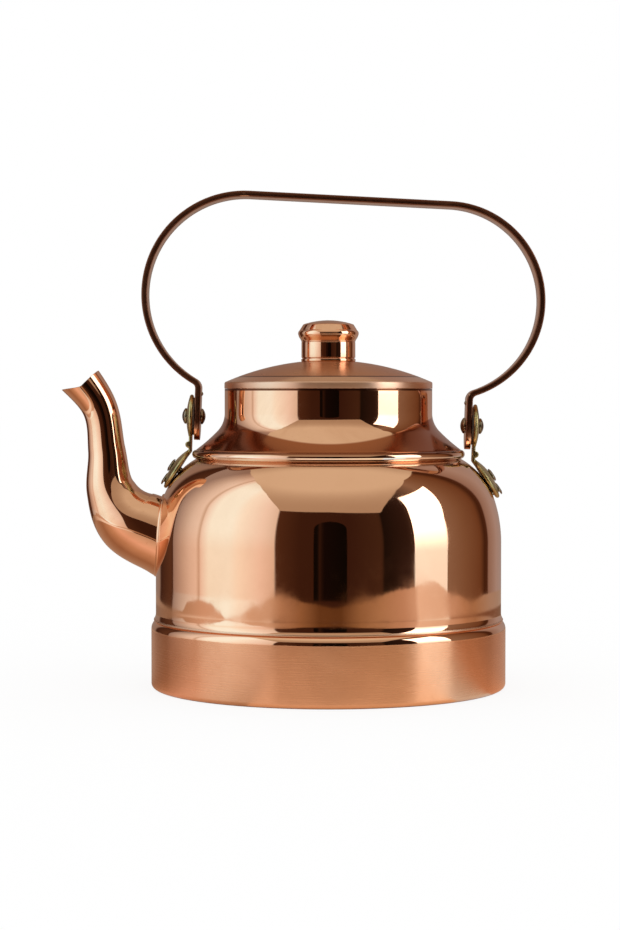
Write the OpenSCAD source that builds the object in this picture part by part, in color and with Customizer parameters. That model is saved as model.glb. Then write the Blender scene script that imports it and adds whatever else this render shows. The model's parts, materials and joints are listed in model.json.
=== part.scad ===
// Copper stovetop kettle: base pan, raised body, neck collar, swan-neck spout,
// lift-off lid with a turned knob, and a strap bail hung in two cast brass ears.
// Millimetres, +Z up. The origin is on the body's axis, at the underside of the base pan.
// The spout points along -X, and the bail stands in the XZ plane.

/* [Base pan] */
// Height of the pan's straight wall
base_h = 30; // [20:0.5:36]
// Thickness of the pan's sheet
base_t = 1.2; // [0.8:0.1:1.8]
// Radius of the pan's lower corner
base_corner_r = 2.5; // [2:0.25:5]
// Radius of the roll at the pan's lip
roll_r = 5; // [3.5:0.25:7]

/* [Body] */
// Outside radius of the body's wall
body_r = 87.7; // [85:0.1:89]
// Thickness of the body's sheet
body_t = 1.2; // [0.8:0.1:1.6]
// Height of the straight wall above the pan
wall_h = 39.4; // [30:0.5:60]
// Radius of the long curve that starts the shoulder
shoulder_long_r = 70; // [60:1:90]
// Angle that the long curve turns through
shoulder_turn = 17.6; // [12:0.2:22]
// Radius of the tight curve that closes the shoulder
shoulder_tight_r = 37; // [33:0.5:42]
// How far the body's spigot reaches down inside the pan
spigot_h = 9; // [5:0.5:15]
// Flare of the body's foot over the pan's lip
foot_flare = 1; // [0.6:0.1:1.3]

/* [Neck] */
// How far the seam between shoulder and collar lies in from the wall
seam_in = 20.7; // [18:0.1:24]
// How far the neck lies in from the seam
neck_in = 14.3; // [12.5:0.1:18]
// Thickness of the collar's sheet
neck_t = 1; // [0.8:0.1:1.4]
// Height of the straight neck
neck_h = 12.4; // [8:0.2:25]
// Radius of the tight curve below the neck
flare_tight_r = 13; // [8:0.5:18]
// Radius of the long curve down to the seam
flare_long_r = 84; // [60:1:120]
// Angle of the flare where its two curves meet
flare_turn = 44; // [38:1:48]
// Radius of the round bead over the seam
bead_r = 2.2; // [1.6:0.1:3]

/* [Lid] */
// Thickness of the lid's sheet
lid_t = 1; // [0.8:0.1:1.4]
// Height of the lid's upright edge
lid_edge_h = 2.5; // [1.5:0.1:4]
// Rise of the lid's dome above its edge
dome_rise = 11.9; // [8:0.1:16]
// Depth of the skirt that drops into the neck
skirt_h = 12; // [6:0.5:16]
// Radial clearance of the skirt in the neck
skirt_gap = 0.4; // [0.3:0.05:0.8]
// Height of the lid's edge above the neck's rim
lid_seat_gap = 0.1; // [0.05:0.05:0.3]

/* [Knob] */
// How far the ring under the knob stands out past the barrel
ferrule_over = 0.1; // [-0.4:0.1:1]
// Height of the ring under the knob
ferrule_h = 1.5; // [1:0.1:4]
// Radius of the knob's barrel
barrel_r = 13.7; // [11:0.1:15]
// Height of the knob's barrel
barrel_h = 8; // [6:0.5:20]
// Wall of the barrel
barrel_t = 1.4; // [1:0.1:2.5]
// Radius of the knob's cap at its widest
cap_r = 15.4; // [13.8:0.1:18]
// Height of the cap from the barrel to its widest point
cap_cove_h = 4.3; // [2.5:0.1:6]
// Height of the cap above its widest point
cap_dome_h = 6.75; // [5:0.25:9]
// Radius of the stud that holds the knob
stud_r = 2.5; // [2:0.1:3]
// Radius of the washer under the lid
knob_washer_r = 8; // [6.5:0.5:11]
// Thickness of the washer under the lid
knob_washer_t = 1; // [0.6:0.1:2]
// Height of the nut under the lid
knob_nut_h = 3.5; // [2.5:0.1:5]
// Radius of the nut over its corners
knob_nut_r = 4.7; // [4.3:0.1:6]

/* [Spout] */
// Height of the spout's root above the straight wall's top
spout_root_up = 1.6; // [0:0.2:4]
// Radius of the spout at its root
spout_root_r = 19.5; // [17:0.5:20]
// Radius of the spout at its narrowest
spout_throat_r = 9; // [7.5:0.25:10]
// Radius of the spout at its flared mouth
spout_mouth_r = 11.5; // [10:0.25:13]
// Thickness of the spout's sheet
spout_t = 1.1; // [0.8:0.1:1.6]
// Width of the seam ring round the spout's root
spout_ring_w = 1.6; // [1:0.1:3]
// Height of the seam ring over the body
spout_ring_h = 1.2; // [0.8:0.1:2]

/* [Bail] */
// Lean of the bail and its hinge line, clockwise seen from the front
bail_lean = 2; // [0:0.25:3]
// Shift of the hinge line's middle along X
hinge_x = 2.3; // [0:0.1:3]
// Height of the hinge line's middle above the shoulder seam
hinge_up = 16.75; // [16:0.25:22]
// How far out from the seam each leg's outer face stands
leg_over = 3.2; // [2.8:0.1:4]
// Thickness of the strap
strap_t = 3; // [2:0.1:3.4]
// Width of the strap
strap_w = 18; // [12:0.5:20]
// Length of each leg below the hinge line
leg_drop = 12; // [11:0.25:13]
// Outside radius of the loop's left end
loop_r = 52.2; // [46:0.1:56]
// How much tighter the loop's right end is
loop_right_less = 2; // [0:0.25:3]
// How far in from the legs the loop's flat top ends
loop_end_in = 19.5; // [17:0.5:22]
// Height of the left end's middle above the hinge line
loop_up = 62.3; // [60:0.1:76]
// How much higher the right end's middle stands
loop_right_up = 0.3; // [-1:0.1:1]
// Sideways shift of the loop over its legs
loop_shift = 4; // [0:0.25:5]
// Middle radius of the bend between leg and loop
leg_bend_r = 4; // [3:0.25:5]
// Radius of the small studs in the legs
leg_stud_r = 0.8; // [0.6:0.05:1.2]
// Height of the small studs above the hinge line
leg_stud_up = 11.5; // [11:0.25:12]

/* [Ears and rivets] */
// Radius of the round upper lobe
upper_lobe_r = 11; // [9:0.25:11.5]
// Thickness of the upper lobe at its middle
upper_lobe_t = 3.4; // [2.6:0.1:4.4]
// Radius of the round lower lobe
lower_lobe_r = 11.5; // [10:0.25:12]
// Thickness of the lower lobe at its middle
lower_lobe_t = 4.2; // [3:0.1:5]
// Thickness of both lobes at their edges
lobe_edge_t = 2; // [1.4:0.1:2.4]
// Width of the waist between the lobes
waist_w = 8; // [6:0.5:10]
// Thickness of the waist
waist_t = 1.6; // [1.2:0.1:2]
// Drop from the hinge line to the bend of the ear
ear_drop = 18; // [17:0.25:19]
// Radius of the bead across the waist
waist_bead_r = 1.7; // [1.2:0.1:2]
// Radius of the pivot rivets' shanks
pivot_r = 2.5; // [2:0.1:3]
// Radius of the pivot rivets' heads
pivot_head_r = 4; // [3.6:0.1:5]
// Height of the pivot rivets' heads
pivot_head_h = 2.3; // [1.6:0.1:3]
// Radial clearance of the pivot rivets in the bail's legs
pivot_gap = 0.06; // [0.02:0.01:0.1]
// Clearance between each leg and the faces beside it
side_gap = 0.15; // [0.1:0.05:0.3]
// Thickness of the pivot washers
pivot_washer_t = 0.7; // [0.6:0.1:1.4]
// Radius of the pivot washers
pivot_washer_r = 9.5; // [8:0.25:10.5]
// Radius of the shoulder rivets' shanks
rivet_r = 1.8; // [1.5:0.1:2]
// Radius of the shoulder rivets' heads
rivet_head_r = 3.5; // [3:0.1:3.6]
// Height of the shoulder rivets' heads
rivet_head_h = 1.5; // [1:0.1:2]
// Distance between the two shoulder rivets of an ear
rivet_pitch = 7.4; // [7.3:0.1:7.8]

/* [Hidden] */

$fn = 96;
left = -1;
right = 1;
arc_step = 3;
// How far a cut runs on past the faces that it goes through
cut_past = 1;

copper = [0.78, 0.46, 0.3];
satin_copper = [0.75, 0.47, 0.33];
strap_copper = [0.45, 0.22, 0.14];
brass = [0.55, 0.5, 0.3];
dark_rivet = [0.3, 0.27, 0.2];
dark_leather = [0.15, 0.1, 0.08];
steel = [0.6, 0.6, 0.6];

// Points along an arc round [cx, cy], from angle a0 to angle a1
function arc(cx, cy, r, a0, a1) =
  let (steps = max(2, ceil(abs(a1 - a0) / arc_step)))
  [for (i = [0:steps]) let (a = a0 + (a1 - a0) * i / steps) [cx + r * cos(a), cy + r * sin(a)]];

function reversed(points) = [for (i = [len(points) - 1:-1:0]) points[i]];

// The pan's lip rolls inwards through this angle, up to the crease below the body's wall
roll_turn = 57.3;
base_r = body_r + roll_r * (1 - cos(roll_turn));
roll_x = base_r - roll_r;
crease_z = base_h + roll_r * sin(roll_turn);
lip_inner_r = roll_x + (roll_r - base_t) * cos(roll_turn);
spigot_gap = 0.1;
spigot_r = lip_inner_r - spigot_gap;

// The foot of the body flares over the lip on a small curve
foot_curve_r = 5;
foot_lip_h = 0.6;
foot_curve_h = sqrt(pow(foot_curve_r, 2) - pow(foot_curve_r - foot_flare, 2));
foot_curve_z = crease_z + foot_lip_h + foot_curve_h;

// The seam, the neck and the bail's legs keep their distances from the wall
seam_r = body_r - seam_in;
neck_r = seam_r - neck_in;
leg_out = seam_r + leg_over;
loop_flat = leg_out - loop_end_in;

// The shoulder is two arcs that meet without a corner
shoulder_z = crease_z + wall_h;
long_x = body_r - shoulder_long_r;
tight_x = long_x + (shoulder_long_r - shoulder_tight_r) * cos(shoulder_turn);
tight_z = shoulder_z + (shoulder_long_r - shoulder_tight_r) * sin(shoulder_turn);
function shoulder_end(inset) = acos((seam_r - inset - tight_x) / (shoulder_tight_r - inset));
shoulder_top_z = tight_z + shoulder_tight_r * sin(shoulder_end(0));
seam_z = shoulder_top_z + bead_r;

// The collar is two concave arcs below a straight neck
collar_over_bead = 0.2;
collar_foot_z = seam_z + bead_r + collar_over_bead;
meet_x = neck_r + flare_tight_r * (1 - cos(flare_turn));
long_flare_x = meet_x + flare_long_r * cos(flare_turn);
function flare_end(inset) = acos((long_flare_x - seam_r + inset) / (flare_long_r + inset));
long_flare_z = collar_foot_z + flare_long_r * sin(flare_end(0));
neck_start_z = long_flare_z - (flare_long_r - flare_tight_r) * sin(flare_turn);
neck_top_z = neck_start_z + neck_h;

// The lid's edge sits over the neck's rim, and its dome is flat under the knob
lid_z = neck_top_z + lid_seat_gap;
lid_over_neck = 0.1;
lid_r = neck_r + lid_over_neck;
lid_corner = 1;
lid_corner_x = lid_r - lid_corner;
lid_corner_z = lid_z + lid_edge_h;
dome_r = (pow(lid_corner_x, 2) + pow(dome_rise, 2) - pow(lid_corner, 2)) / (2 * (dome_rise - lid_corner));
dome_z = lid_corner_z + dome_rise - dome_r;
dome_turn = acos(lid_corner_x / (dome_r - lid_corner));
ferrule_r = barrel_r + ferrule_over;
knob_seat_margin = 0.6;
knob_seat_r = ferrule_r + knob_seat_margin;
knob_seat_z = dome_z + sqrt(pow(dome_r, 2) - pow(knob_seat_r, 2));
skirt_r = neck_r - neck_t - skirt_gap;
skirt_t = 0.9;
skirt_top_gap = 0.05;
rim_land = 1.4;

// The knob stands on its ring, with a groove between ring and barrel
groove_h = 0.5;
groove_in = 0.5;
barrel_z = knob_seat_z + ferrule_h + groove_h;
cap_z = barrel_z + barrel_h;
cap_wide_z = cap_z + cap_cove_h;
cap_top_z = cap_wide_z + cap_dome_h;
cap_spigot_h = 3;
cap_spigot_gap = 0.1;
stud_gap = 0.05;
stud_into_cap = 3;
stud_end_gap = 0.2;
stud_past_nut = 1.5;
washer_z = knob_seat_z - lid_t - knob_washer_t;
nut_z = washer_z - knob_nut_h;

// The spout's stations: distance out from the body's wall, height above its root, and radius
spout_root_z = shoulder_z + spout_root_up;
spout_stations = [
  [-5.5, 0, spout_root_r],
  [13.5, 9.5, spout_root_r - 2],
  [23, 25, (spout_root_r + spout_throat_r) / 2 - 1.75],
  [25, 45, spout_throat_r + 0.5],
  [29, 67.5, spout_throat_r],
  [45.5, 89.5, spout_mouth_r]
];
spout_sides = 28;
spout_rings = 32;
// The mouth's edge in the side view, out and up as above: a tall back, a notch, and a long lip
mouth_edge = [[28, 86.4], [37.2, 77.2], [40, 76.6], [49, 75.4]];
spout_hole_r = spout_root_r - 2;
spout_root_gap = 0.1;
seam_ring_r = spout_root_r + spout_root_gap;
seam_ring_outer_r = seam_ring_r + spout_ring_w;
seam_ring_z = spout_root_z + 1.7;

// The hinge line runs through both pivots, and leans with the bail
hinge_z = seam_z + hinge_up;
leg_mid = leg_out - strap_t / 2;
function loop_mid_r(side) = loop_r - strap_t / 2 - (side == right ? loop_right_less : 0);
function loop_end_x(side) = loop_flat + side * loop_shift;
function loop_end_z(side) = loop_up + (side == right ? loop_right_up : 0);
loop_top_lean = asin(loop_right_less / (2 * loop_flat)) - atan2(loop_right_up, 2 * loop_flat);
washer_in = leg_out + side_gap;
ear_in = washer_in + pivot_washer_t;
leg_end_r = strap_w / 2;
head_sink = 0.1;
head_seat = ear_in + upper_lobe_t - head_sink;

// A point given along the hinge line and up from it, in the model's own frame
function from_hinge(along, up) = [
  hinge_x + along * cos(bail_lean) + up * sin(bail_lean),
  hinge_z - along * sin(bail_lean) + up * cos(bail_lean)
];

// The lower lobe leans from the ear's bend down to the shoulder
lobe_foot_turn = 25.3;
lobe_foot = [
  tight_x + shoulder_tight_r * cos(lobe_foot_turn),
  tight_z + shoulder_tight_r * sin(lobe_foot_turn)
];
function ear_bend(side) = from_hinge(side * ear_in, -ear_drop);
waist_bead_drop = ear_drop * 0.8;
waist_in = 0.3;
function lobe_lean(side) =
  let (bend = ear_bend(side))
  atan2(lobe_foot[0] - abs(bend[0]), bend[1] - lobe_foot[1]);

// A point given out from the lower lobe's line and down along it, in the model's own frame
function from_bend(side, out, down) =
  let (lean = lobe_lean(side), bend = ear_bend(side))
  [bend[0] + side * (out * cos(lean) + down * sin(lean)), bend[1] + out * sin(lean) - down * cos(lean)];

// The lobe's flat back stands off the line from bend to foot, so that it just meets the shoulder
lobe_seat_gap = 0.05;
function lobe_seat(side) =
  let (
    lean = lobe_lean(side),
    bend = ear_bend(side),
    bend_out = (abs(bend[0]) - tight_x) * cos(lean) + (bend[1] - tight_z) * sin(lean)
  )
  shoulder_tight_r + lobe_seat_gap - bend_out;
rivet_first = lower_lobe_r;
rivet_gap = 0.05;
rivet_inner = body_t + 0.5;
// The lobes' round rim turns through this angle before their domed face starts
lobe_rim_turn = 75;

// ---------- outlines that are turned round the axis ----------

// The body's outline, set in by the sheet's thickness or not at all
function body_curve(inset) = concat(
  [[body_r - inset, foot_curve_z]],
  arc(long_x, shoulder_z, shoulder_long_r - inset, 0, shoulder_turn),
  arc(tight_x, tight_z, shoulder_tight_r - inset, shoulder_turn, shoulder_end(inset)),
  [[seam_r - inset, seam_z]]
);

function foot_curve() = concat(
  [[body_r + foot_flare, crease_z], [body_r + foot_flare, crease_z + foot_lip_h]],
  arc(body_r + foot_curve_r, foot_curve_z, foot_curve_r, 180 + acos(1 - foot_flare / foot_curve_r), 180)
);

function collar_curve(inset) = concat(
  [[seam_r - inset, seam_z]],
  arc(long_flare_x, long_flare_z, flare_long_r + inset, 180 + flare_end(inset), 180 + flare_turn),
  arc(neck_r + flare_tight_r, neck_start_z, flare_tight_r + inset, 180 + flare_turn, 180),
  [[neck_r - inset, neck_top_z]]
);

// The waist's outline from the upper lobe down to the lower lobe, with a bead across it
module waist_outline(side) {
  polygon([
    from_hinge(side * (ear_in + waist_in), waist_in - upper_lobe_r),
    from_hinge(side * ear_in, -upper_lobe_r - waist_in),
    ear_bend(side),
    from_bend(side, lobe_seat(side) + waist_in, waist_w),
    from_bend(side, lobe_seat(side) + waist_t, waist_w),
    from_hinge(side * (ear_in + waist_t), waist_t * tan(lobe_lean(side) / 2) - ear_drop),
    from_hinge(side * (ear_in + waist_t), waist_in - upper_lobe_r)
  ]);
  translate(from_hinge(side * (ear_in + waist_t), -waist_bead_drop)) circle(r = waist_bead_r);
}

// Everything inside the body's outer surface, as one solid
module body_fill() {
  rotate_extrude() polygon(concat([[0, crease_z]], foot_curve(), body_curve(0), [[0, seam_z]]));
}

// ---------- frames ----------

module hinge_frame() {
  translate([hinge_x, 0, hinge_z]) rotate([0, bail_lean, 0]) children();
}

// Local +X points outwards from the kettle, along the hinge line
module pivot_frame(side) {
  hinge_frame() rotate([0, 0, side == right ? 0 : 180]) children();
}

// Local -Z runs down the lower lobe, and local +X points out of it
module lobe_frame(side) {
  translate([ear_bend(side)[0], 0, ear_bend(side)[1]])
    rotate([0, -side * lobe_lean(side), 0])
      rotate([0, 0, side == right ? 0 : 180])
        children();
}

module along_x(at, length, r) {
  translate([at, 0, 0]) rotate([0, 90, 0]) cylinder(r = r, h = length);
}

// A bore that runs on past both ends of what it goes through
module bore_along_x(at, length, r) {
  along_x(at - cut_past, length + 2 * cut_past, r);
}

module bore_up(at, length, r) {
  translate([0, 0, at - cut_past]) cylinder(r = r, h = length + 2 * cut_past);
}

// A solid turned round local X, from points that give its radius and its place along X
module turned(points) {
  rotate([0, 90, 0]) rotate_extrude() polygon(points);
}

// The domed end of a turned disc, from its edge in to a given radius
function dome_end(r, edge, middle, at, to_r = 0) =
  let (rise = middle - edge, ball_r = (r * r + rise * rise) / (2 * rise), way = sign(rise))
  [for (p = arc(0, 0, abs(ball_r), acos(r / abs(ball_r)), acos(to_r / abs(ball_r))))
    [p[0], at + middle + way * (p[1] - abs(ball_r))]];

// A lobe of an ear: its flat back at x = 0, a round rim, and a domed face towards +X
module lobe(r, middle) {
  rim_r = lobe_edge_t / 2;
  turned(concat(
    [[0, 0]],
    arc(r - rim_r, rim_r, rim_r, -90, lobe_rim_turn),
    dome_end(r - rim_r, lobe_edge_t, middle, 0)
  ));
}

// ---------- body ----------

module base_pan() {
  floor_r = base_r - base_corner_r;
  inner_corner = base_corner_r - base_t;
  color(satin_copper)
    rotate_extrude()
      polygon(concat(
        [[0, 0]],
        arc(floor_r, base_corner_r, base_corner_r, -90, 0),
        arc(roll_x, base_h, roll_r, 0, roll_turn),
        reversed(arc(roll_x, base_h, roll_r - base_t, 0, roll_turn)),
        reversed(arc(floor_r, base_corner_r, inner_corner, -90, 0)),
        [[0, base_t]]
      ));
}

module body_shell() {
  color(copper)
    difference() {
      rotate_extrude()
        polygon(concat(
          [[spigot_r, crease_z - spigot_h], [spigot_r, crease_z]],
          foot_curve(),
          body_curve(0),
          reversed(body_curve(body_t)),
          [[body_r - body_t, crease_z], [spigot_r - body_t, crease_z]],
          [[spigot_r - body_t, crease_z - spigot_h]]
        ));
      translate([0, 0, spout_root_z]) bore_along_x(-body_r, spout_hole_r, spout_hole_r);
      for (side = [left, right])
        shoulder_rivet_shanks(side, rivet_r + rivet_gap);
    }
}

module neck_collar() {
  color(copper)
    rotate_extrude()
      polygon(concat(collar_curve(0), reversed(collar_curve(neck_t))));
}

module shoulder_bead() {
  color(copper)
    rotate_extrude()
      difference() {
        translate([seam_r, seam_z]) circle(r = bead_r);
        polygon(concat(
          [[0, crease_z], [body_r, crease_z]],
          body_curve(0),
          collar_curve(0),
          [[0, neck_top_z]]
        ));
      }
}

// ---------- spout ----------

// A smooth curve through four neighbouring stations, at t from 0 to 1
function smooth(a, b, c, d, t) =
  0.5 * (2 * b + (c - a) * t + (2 * a - 5 * b + 4 * c - d) * t * t + (3 * b - a - 3 * c + d) * t * t * t);

function station(i) =
  let (last = len(spout_stations) - 1)
  i < 0 ? 2 * spout_stations[0] - spout_stations[1] :
  i > last ? 2 * spout_stations[last] - spout_stations[last - 1] :
  spout_stations[i];

function spout_at(s) =
  let (last = len(spout_stations) - 1, i = min(floor(s), last - 1))
  smooth(station(i - 1), station(i), station(i + 1), station(i + 2), s - i);

// Radius of the body's outer surface at a height on its wall or shoulder
function body_radius_at(z) =
  z < shoulder_z ? body_r :
  z < shoulder_z + shoulder_long_r * sin(shoulder_turn) ?
    long_x + sqrt(pow(shoulder_long_r, 2) - pow(z - shoulder_z, 2)) :
  tight_x + sqrt(pow(shoulder_tight_r, 2) - pow(z - tight_z, 2));

// A point of the spout's sheet, at s along the stations and a degrees round, thinned by the sheet
function spout_point(s, a, thin) =
  let (
    p = spout_at(s),
    before = spout_at(max(0, s - 0.02)),
    after = spout_at(min(len(spout_stations) - 1, s + 0.02)),
    lean = atan2(after[1] - before[1], after[0] - before[0]),
    r = p[2] - thin
  )
  [-(body_r + p[0] - r * cos(a) * sin(lean)), r * sin(a), spout_root_z + p[1] + r * cos(a) * cos(lean)];

function past_body(s, a, thin) =
  let (p = spout_point(s, a, thin))
  norm([p[0], p[1]]) > body_radius_at(p[2]);

function past_mouth(s, a, thin) =
  let (p = spout_point(s, a, thin))
  p[2] - spout_root_z > lookup(-p[0] - body_r, mouth_edge);

// Where the sheet leaves the body, or meets the mouth's edge, found by halving the span
function start_of(a, thin, low = 0, high = 2, n = 16) =
  let (mid = (low + high) / 2)
  n == 0 ? mid :
  past_body(mid, a, thin) ? start_of(a, thin, low, mid, n - 1) : start_of(a, thin, mid, high, n - 1);

function end_of(a, thin, low = 3.5, high = 5, n = 16) =
  let (mid = (low + high) / 2)
  n == 0 ? mid :
  past_mouth(mid, a, thin) ? end_of(a, thin, low, mid, n - 1) : end_of(a, thin, mid, high, n - 1);

// The spout's outer or inner skin, ring by ring, from the body to the mouth's edge
function spout_skin(thin) =
  let (ends = [for (k = [0:spout_sides - 1])
    let (a = 360 * k / spout_sides)
    [a, start_of(a, thin), end_of(a, thin)]])
  [for (j = [0:spout_rings], e = ends)
    spout_point(e[1] + (e[2] - e[1]) * j / spout_rings, e[0], thin)];

module spout() {
  skin_size = (spout_rings + 1) * spout_sides;
  last = spout_rings * spout_sides;
  quads = [for (j = [0:spout_rings - 1], k = [0:spout_sides - 1])
    let (next = (k + 1) % spout_sides, a = j * spout_sides, b = a + spout_sides)
    [a + k, b + k, b + next, a + next]];
  outer_faces = [for (q = quads) each [[q[0], q[2], q[3]], [q[0], q[1], q[2]]]];
  inner_faces = [for (q = quads) each [
    [q[3] + skin_size, q[2] + skin_size, q[0] + skin_size],
    [q[2] + skin_size, q[1] + skin_size, q[0] + skin_size]
  ]];
  edge_faces = [for (k = [0:spout_sides - 1])
    let (next = (k + 1) % spout_sides, m = last + k, n = last + next)
    each [
      [k, next, next + skin_size], [k, next + skin_size, k + skin_size],
      [n, m, m + skin_size], [n, m + skin_size, n + skin_size]
    ]];
  color(copper)
    polyhedron(
      concat(spout_skin(0), spout_skin(spout_t)),
      concat(outer_faces, inner_faces, edge_faces),
      convexity = 6
    );
}

module spout_seam_ring() {
  color(copper)
    difference() {
      translate([0, 0, seam_ring_z]) along_x(-body_r - spout_ring_h, seam_ring_outer_r, seam_ring_outer_r);
      translate([0, 0, seam_ring_z]) bore_along_x(-body_r - spout_ring_h, seam_ring_outer_r, seam_ring_r);
      body_fill();
    }
}

// ---------- ears and rivets ----------

module ear(side) {
  color(brass)
    difference() {
      union() {
        pivot_frame(side)
          translate([ear_in, 0, 0]) lobe(upper_lobe_r, upper_lobe_t);
        rotate([90, 0, 0]) linear_extrude(height = waist_w, center = true) waist_outline(side);
        lobe_frame(side)
          translate([lobe_seat(side), 0, -lower_lobe_r]) lobe(lower_lobe_r, lower_lobe_t);
      }
      lobe_frame(side)
        for (i = [0, 1])
          translate([0, 0, -rivet_first - i * rivet_pitch])
            along_x(rivet_seat(side, i), lower_lobe_t, rivet_head_r + rivet_gap);
      pivot_frame(side) bore_along_x(ear_in, upper_lobe_t, pivot_r + rivet_gap);
      shoulder_rivet_shanks(side, rivet_r + rivet_gap);
    }
}

module shoulder_rivet_shanks(side, r) {
  lobe_frame(side)
    for (i = [0, 1])
      translate([0, 0, -rivet_first - i * rivet_pitch])
        bore_along_x(-rivet_inner, rivet_inner + lobe_seat(side) + lower_lobe_t, r);
}

// Height of the lower lobe's domed face at a distance from its middle
function lobe_face(off) =
  let (
    rise = lower_lobe_t - lobe_edge_t,
    rim = lower_lobe_r - lobe_edge_t / 2,
    ball_r = (rim * rim + rise * rise) / (2 * rise)
  )
  lower_lobe_t - ball_r + sqrt(ball_r * ball_r - off * off);

// Each shoulder rivet's head sits in a spot face that is level with the dome at the rivet's middle
function rivet_seat(side, i) = lobe_seat(side) + lobe_face(i * rivet_pitch);

// A shoulder rivet has a dished outer head, and is peened over inside the body
module shoulder_rivets(side) {
  dish_r = rivet_head_r * 0.62;
  dish_floor_r = dish_r * 0.8;
  dish_h = rivet_head_h * 0.3;
  head_edge = rivet_head_h * 0.4;
  tail_r = rivet_head_r - 0.5;
  tail_h = 1.2;
  tail_edge = tail_h * 0.4;
  color(dark_rivet)
    lobe_frame(side)
      for (i = [0, 1]) {
        seat = rivet_seat(side, i);
        crown = dome_end(rivet_head_r, head_edge, rivet_head_h, seat, dish_r);
        tail = reversed(dome_end(tail_r, -tail_edge, -tail_h, -rivet_inner));
        translate([0, 0, -rivet_first - i * rivet_pitch])
          turned(concat(
            tail,
            [[tail_r, -rivet_inner], [rivet_r, -rivet_inner], [rivet_r, seat], [rivet_head_r, seat]],
            crown,
            [[dish_floor_r, seat + rivet_head_h - dish_h], [0, seat + rivet_head_h - dish_h]]
          ));
      }
}

module pivot_rivet(side) {
  inner_seat = leg_out - strap_t - side_gap;
  edge = pivot_head_h * 0.35;
  color(dark_rivet)
    pivot_frame(side)
      turned(concat(
        reversed(dome_end(pivot_head_r, -edge, -pivot_head_h, inner_seat)),
        [[pivot_head_r, inner_seat], [pivot_r, inner_seat], [pivot_r, head_seat], [pivot_head_r, head_seat]],
        dome_end(pivot_head_r, edge, pivot_head_h, head_seat)
      ));
}

module pivot_washer(side) {
  color(dark_leather)
    pivot_frame(side)
      difference() {
        along_x(washer_in, pivot_washer_t, pivot_washer_r);
        bore_along_x(washer_in, pivot_washer_t, pivot_r + rivet_gap);
      }
}

// ---------- bail ----------

// Half of the strap's side outline, at a distance off its middle line
function bail_half(side, off) =
  let (
    end_x = loop_end_x(side),
    end_z = loop_end_z(side),
    end_r = loop_mid_r(side),
    bend_x = leg_mid + leg_bend_r,
    bend_z = end_z - sqrt(pow(end_r + leg_bend_r, 2) - pow(bend_x - end_x, 2)),
    turn = atan2(bend_z - end_z, bend_x - end_x),
    half = concat(
      [[leg_mid + off, leg_end_r - leg_drop]],
      arc(bend_x, bend_z, leg_bend_r - off, 180, 180 + turn),
      arc(end_x, end_z, end_r + off, turn, 90 - side * loop_top_lean)
    )
  )
  [for (p = half) [side * p[0], p[1]]];

module bail_strap() {
  off = strap_t / 2;
  color(strap_copper)
    hinge_frame()
      difference() {
        union() {
          translate([0, strap_w / 2, 0])
            rotate([90, 0, 0])
              linear_extrude(strap_w)
                polygon(concat(
                  bail_half(left, off),
                  reversed(bail_half(right, off)),
                  bail_half(right, -off),
                  reversed(bail_half(left, -off))
                ));
          for (side = [left, right])
            translate([0, 0, leg_end_r - leg_drop]) along_x(side * leg_mid - off, strap_t, leg_end_r);
        }
        for (side = [left, right]) {
          bore_along_x(side * leg_mid - off, strap_t, pivot_r + pivot_gap);
          translate([0, 0, leg_stud_up]) bore_along_x(side * leg_mid - off, strap_t, leg_stud_r + rivet_gap);
        }
      }
}

module bail_stud(side) {
  pip_r = leg_stud_r * 1.3;
  pip_h = 0.9;
  pip_edge = 0.3;
  color(dark_rivet)
    pivot_frame(side)
      translate([leg_out - strap_t, 0, leg_stud_up])
        turned(concat(
          reversed(dome_end(pip_r, -pip_edge, -pip_h, 0)),
          [[pip_r, 0], [leg_stud_r, 0], [leg_stud_r, strap_t], [0, strap_t]]
        ));
}

// ---------- lid ----------

module lid_cover() {
  land_r = lid_r - rim_land;
  inner_r = dome_r - lid_t;
  under_flat_r = knob_seat_r - lid_t;
  color(copper)
    difference() {
      rotate_extrude()
        polygon(concat(
          [[lid_r, lid_z]],
          arc(lid_corner_x, lid_corner_z, lid_corner, 0, dome_turn),
          arc(0, dome_z, dome_r, dome_turn, acos(knob_seat_r / dome_r)),
          [[0, knob_seat_z], [0, knob_seat_z - lid_t], [under_flat_r, knob_seat_z - lid_t]],
          arc(0, dome_z, inner_r, acos(knob_seat_r / inner_r), acos(land_r / inner_r)),
          [[land_r, lid_z]]
        ));
      bore_up(knob_seat_z - lid_t, lid_t, stud_r + stud_gap);
    }
}

module lid_skirt() {
  under_r = dome_r - lid_t - skirt_top_gap;
  color(copper)
    rotate_extrude()
      difference() {
        translate([skirt_r - skirt_t, neck_top_z - skirt_h]) square([skirt_t, skirt_h + dome_rise]);
        polygon(concat(
          [[lid_r + cut_past, lid_z], [lid_r - rim_land, lid_z]],
          arc(0, dome_z, under_r, acos((lid_r - rim_land) / under_r), 90),
          [[0, cap_top_z], [lid_r + cut_past, cap_top_z]]
        ));
      }
}

module knob_ferrule() {
  soft = 0.4;
  color(copper)
    difference() {
      rotate_extrude()
        polygon([
          [0, knob_seat_z],
          [ferrule_r, knob_seat_z],
          [ferrule_r, knob_seat_z + ferrule_h - soft],
          [ferrule_r - soft, knob_seat_z + ferrule_h],
          [ferrule_r - groove_in, knob_seat_z + ferrule_h],
          [ferrule_r - groove_in, barrel_z],
          [0, barrel_z]
        ]);
      bore_up(knob_seat_z, ferrule_h + groove_h, stud_r + stud_gap);
    }
}

module knob_barrel() {
  color(copper)
    difference() {
      translate([0, 0, barrel_z]) cylinder(r = barrel_r, h = barrel_h);
      bore_up(barrel_z, barrel_h, barrel_r - barrel_t);
    }
}

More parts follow.
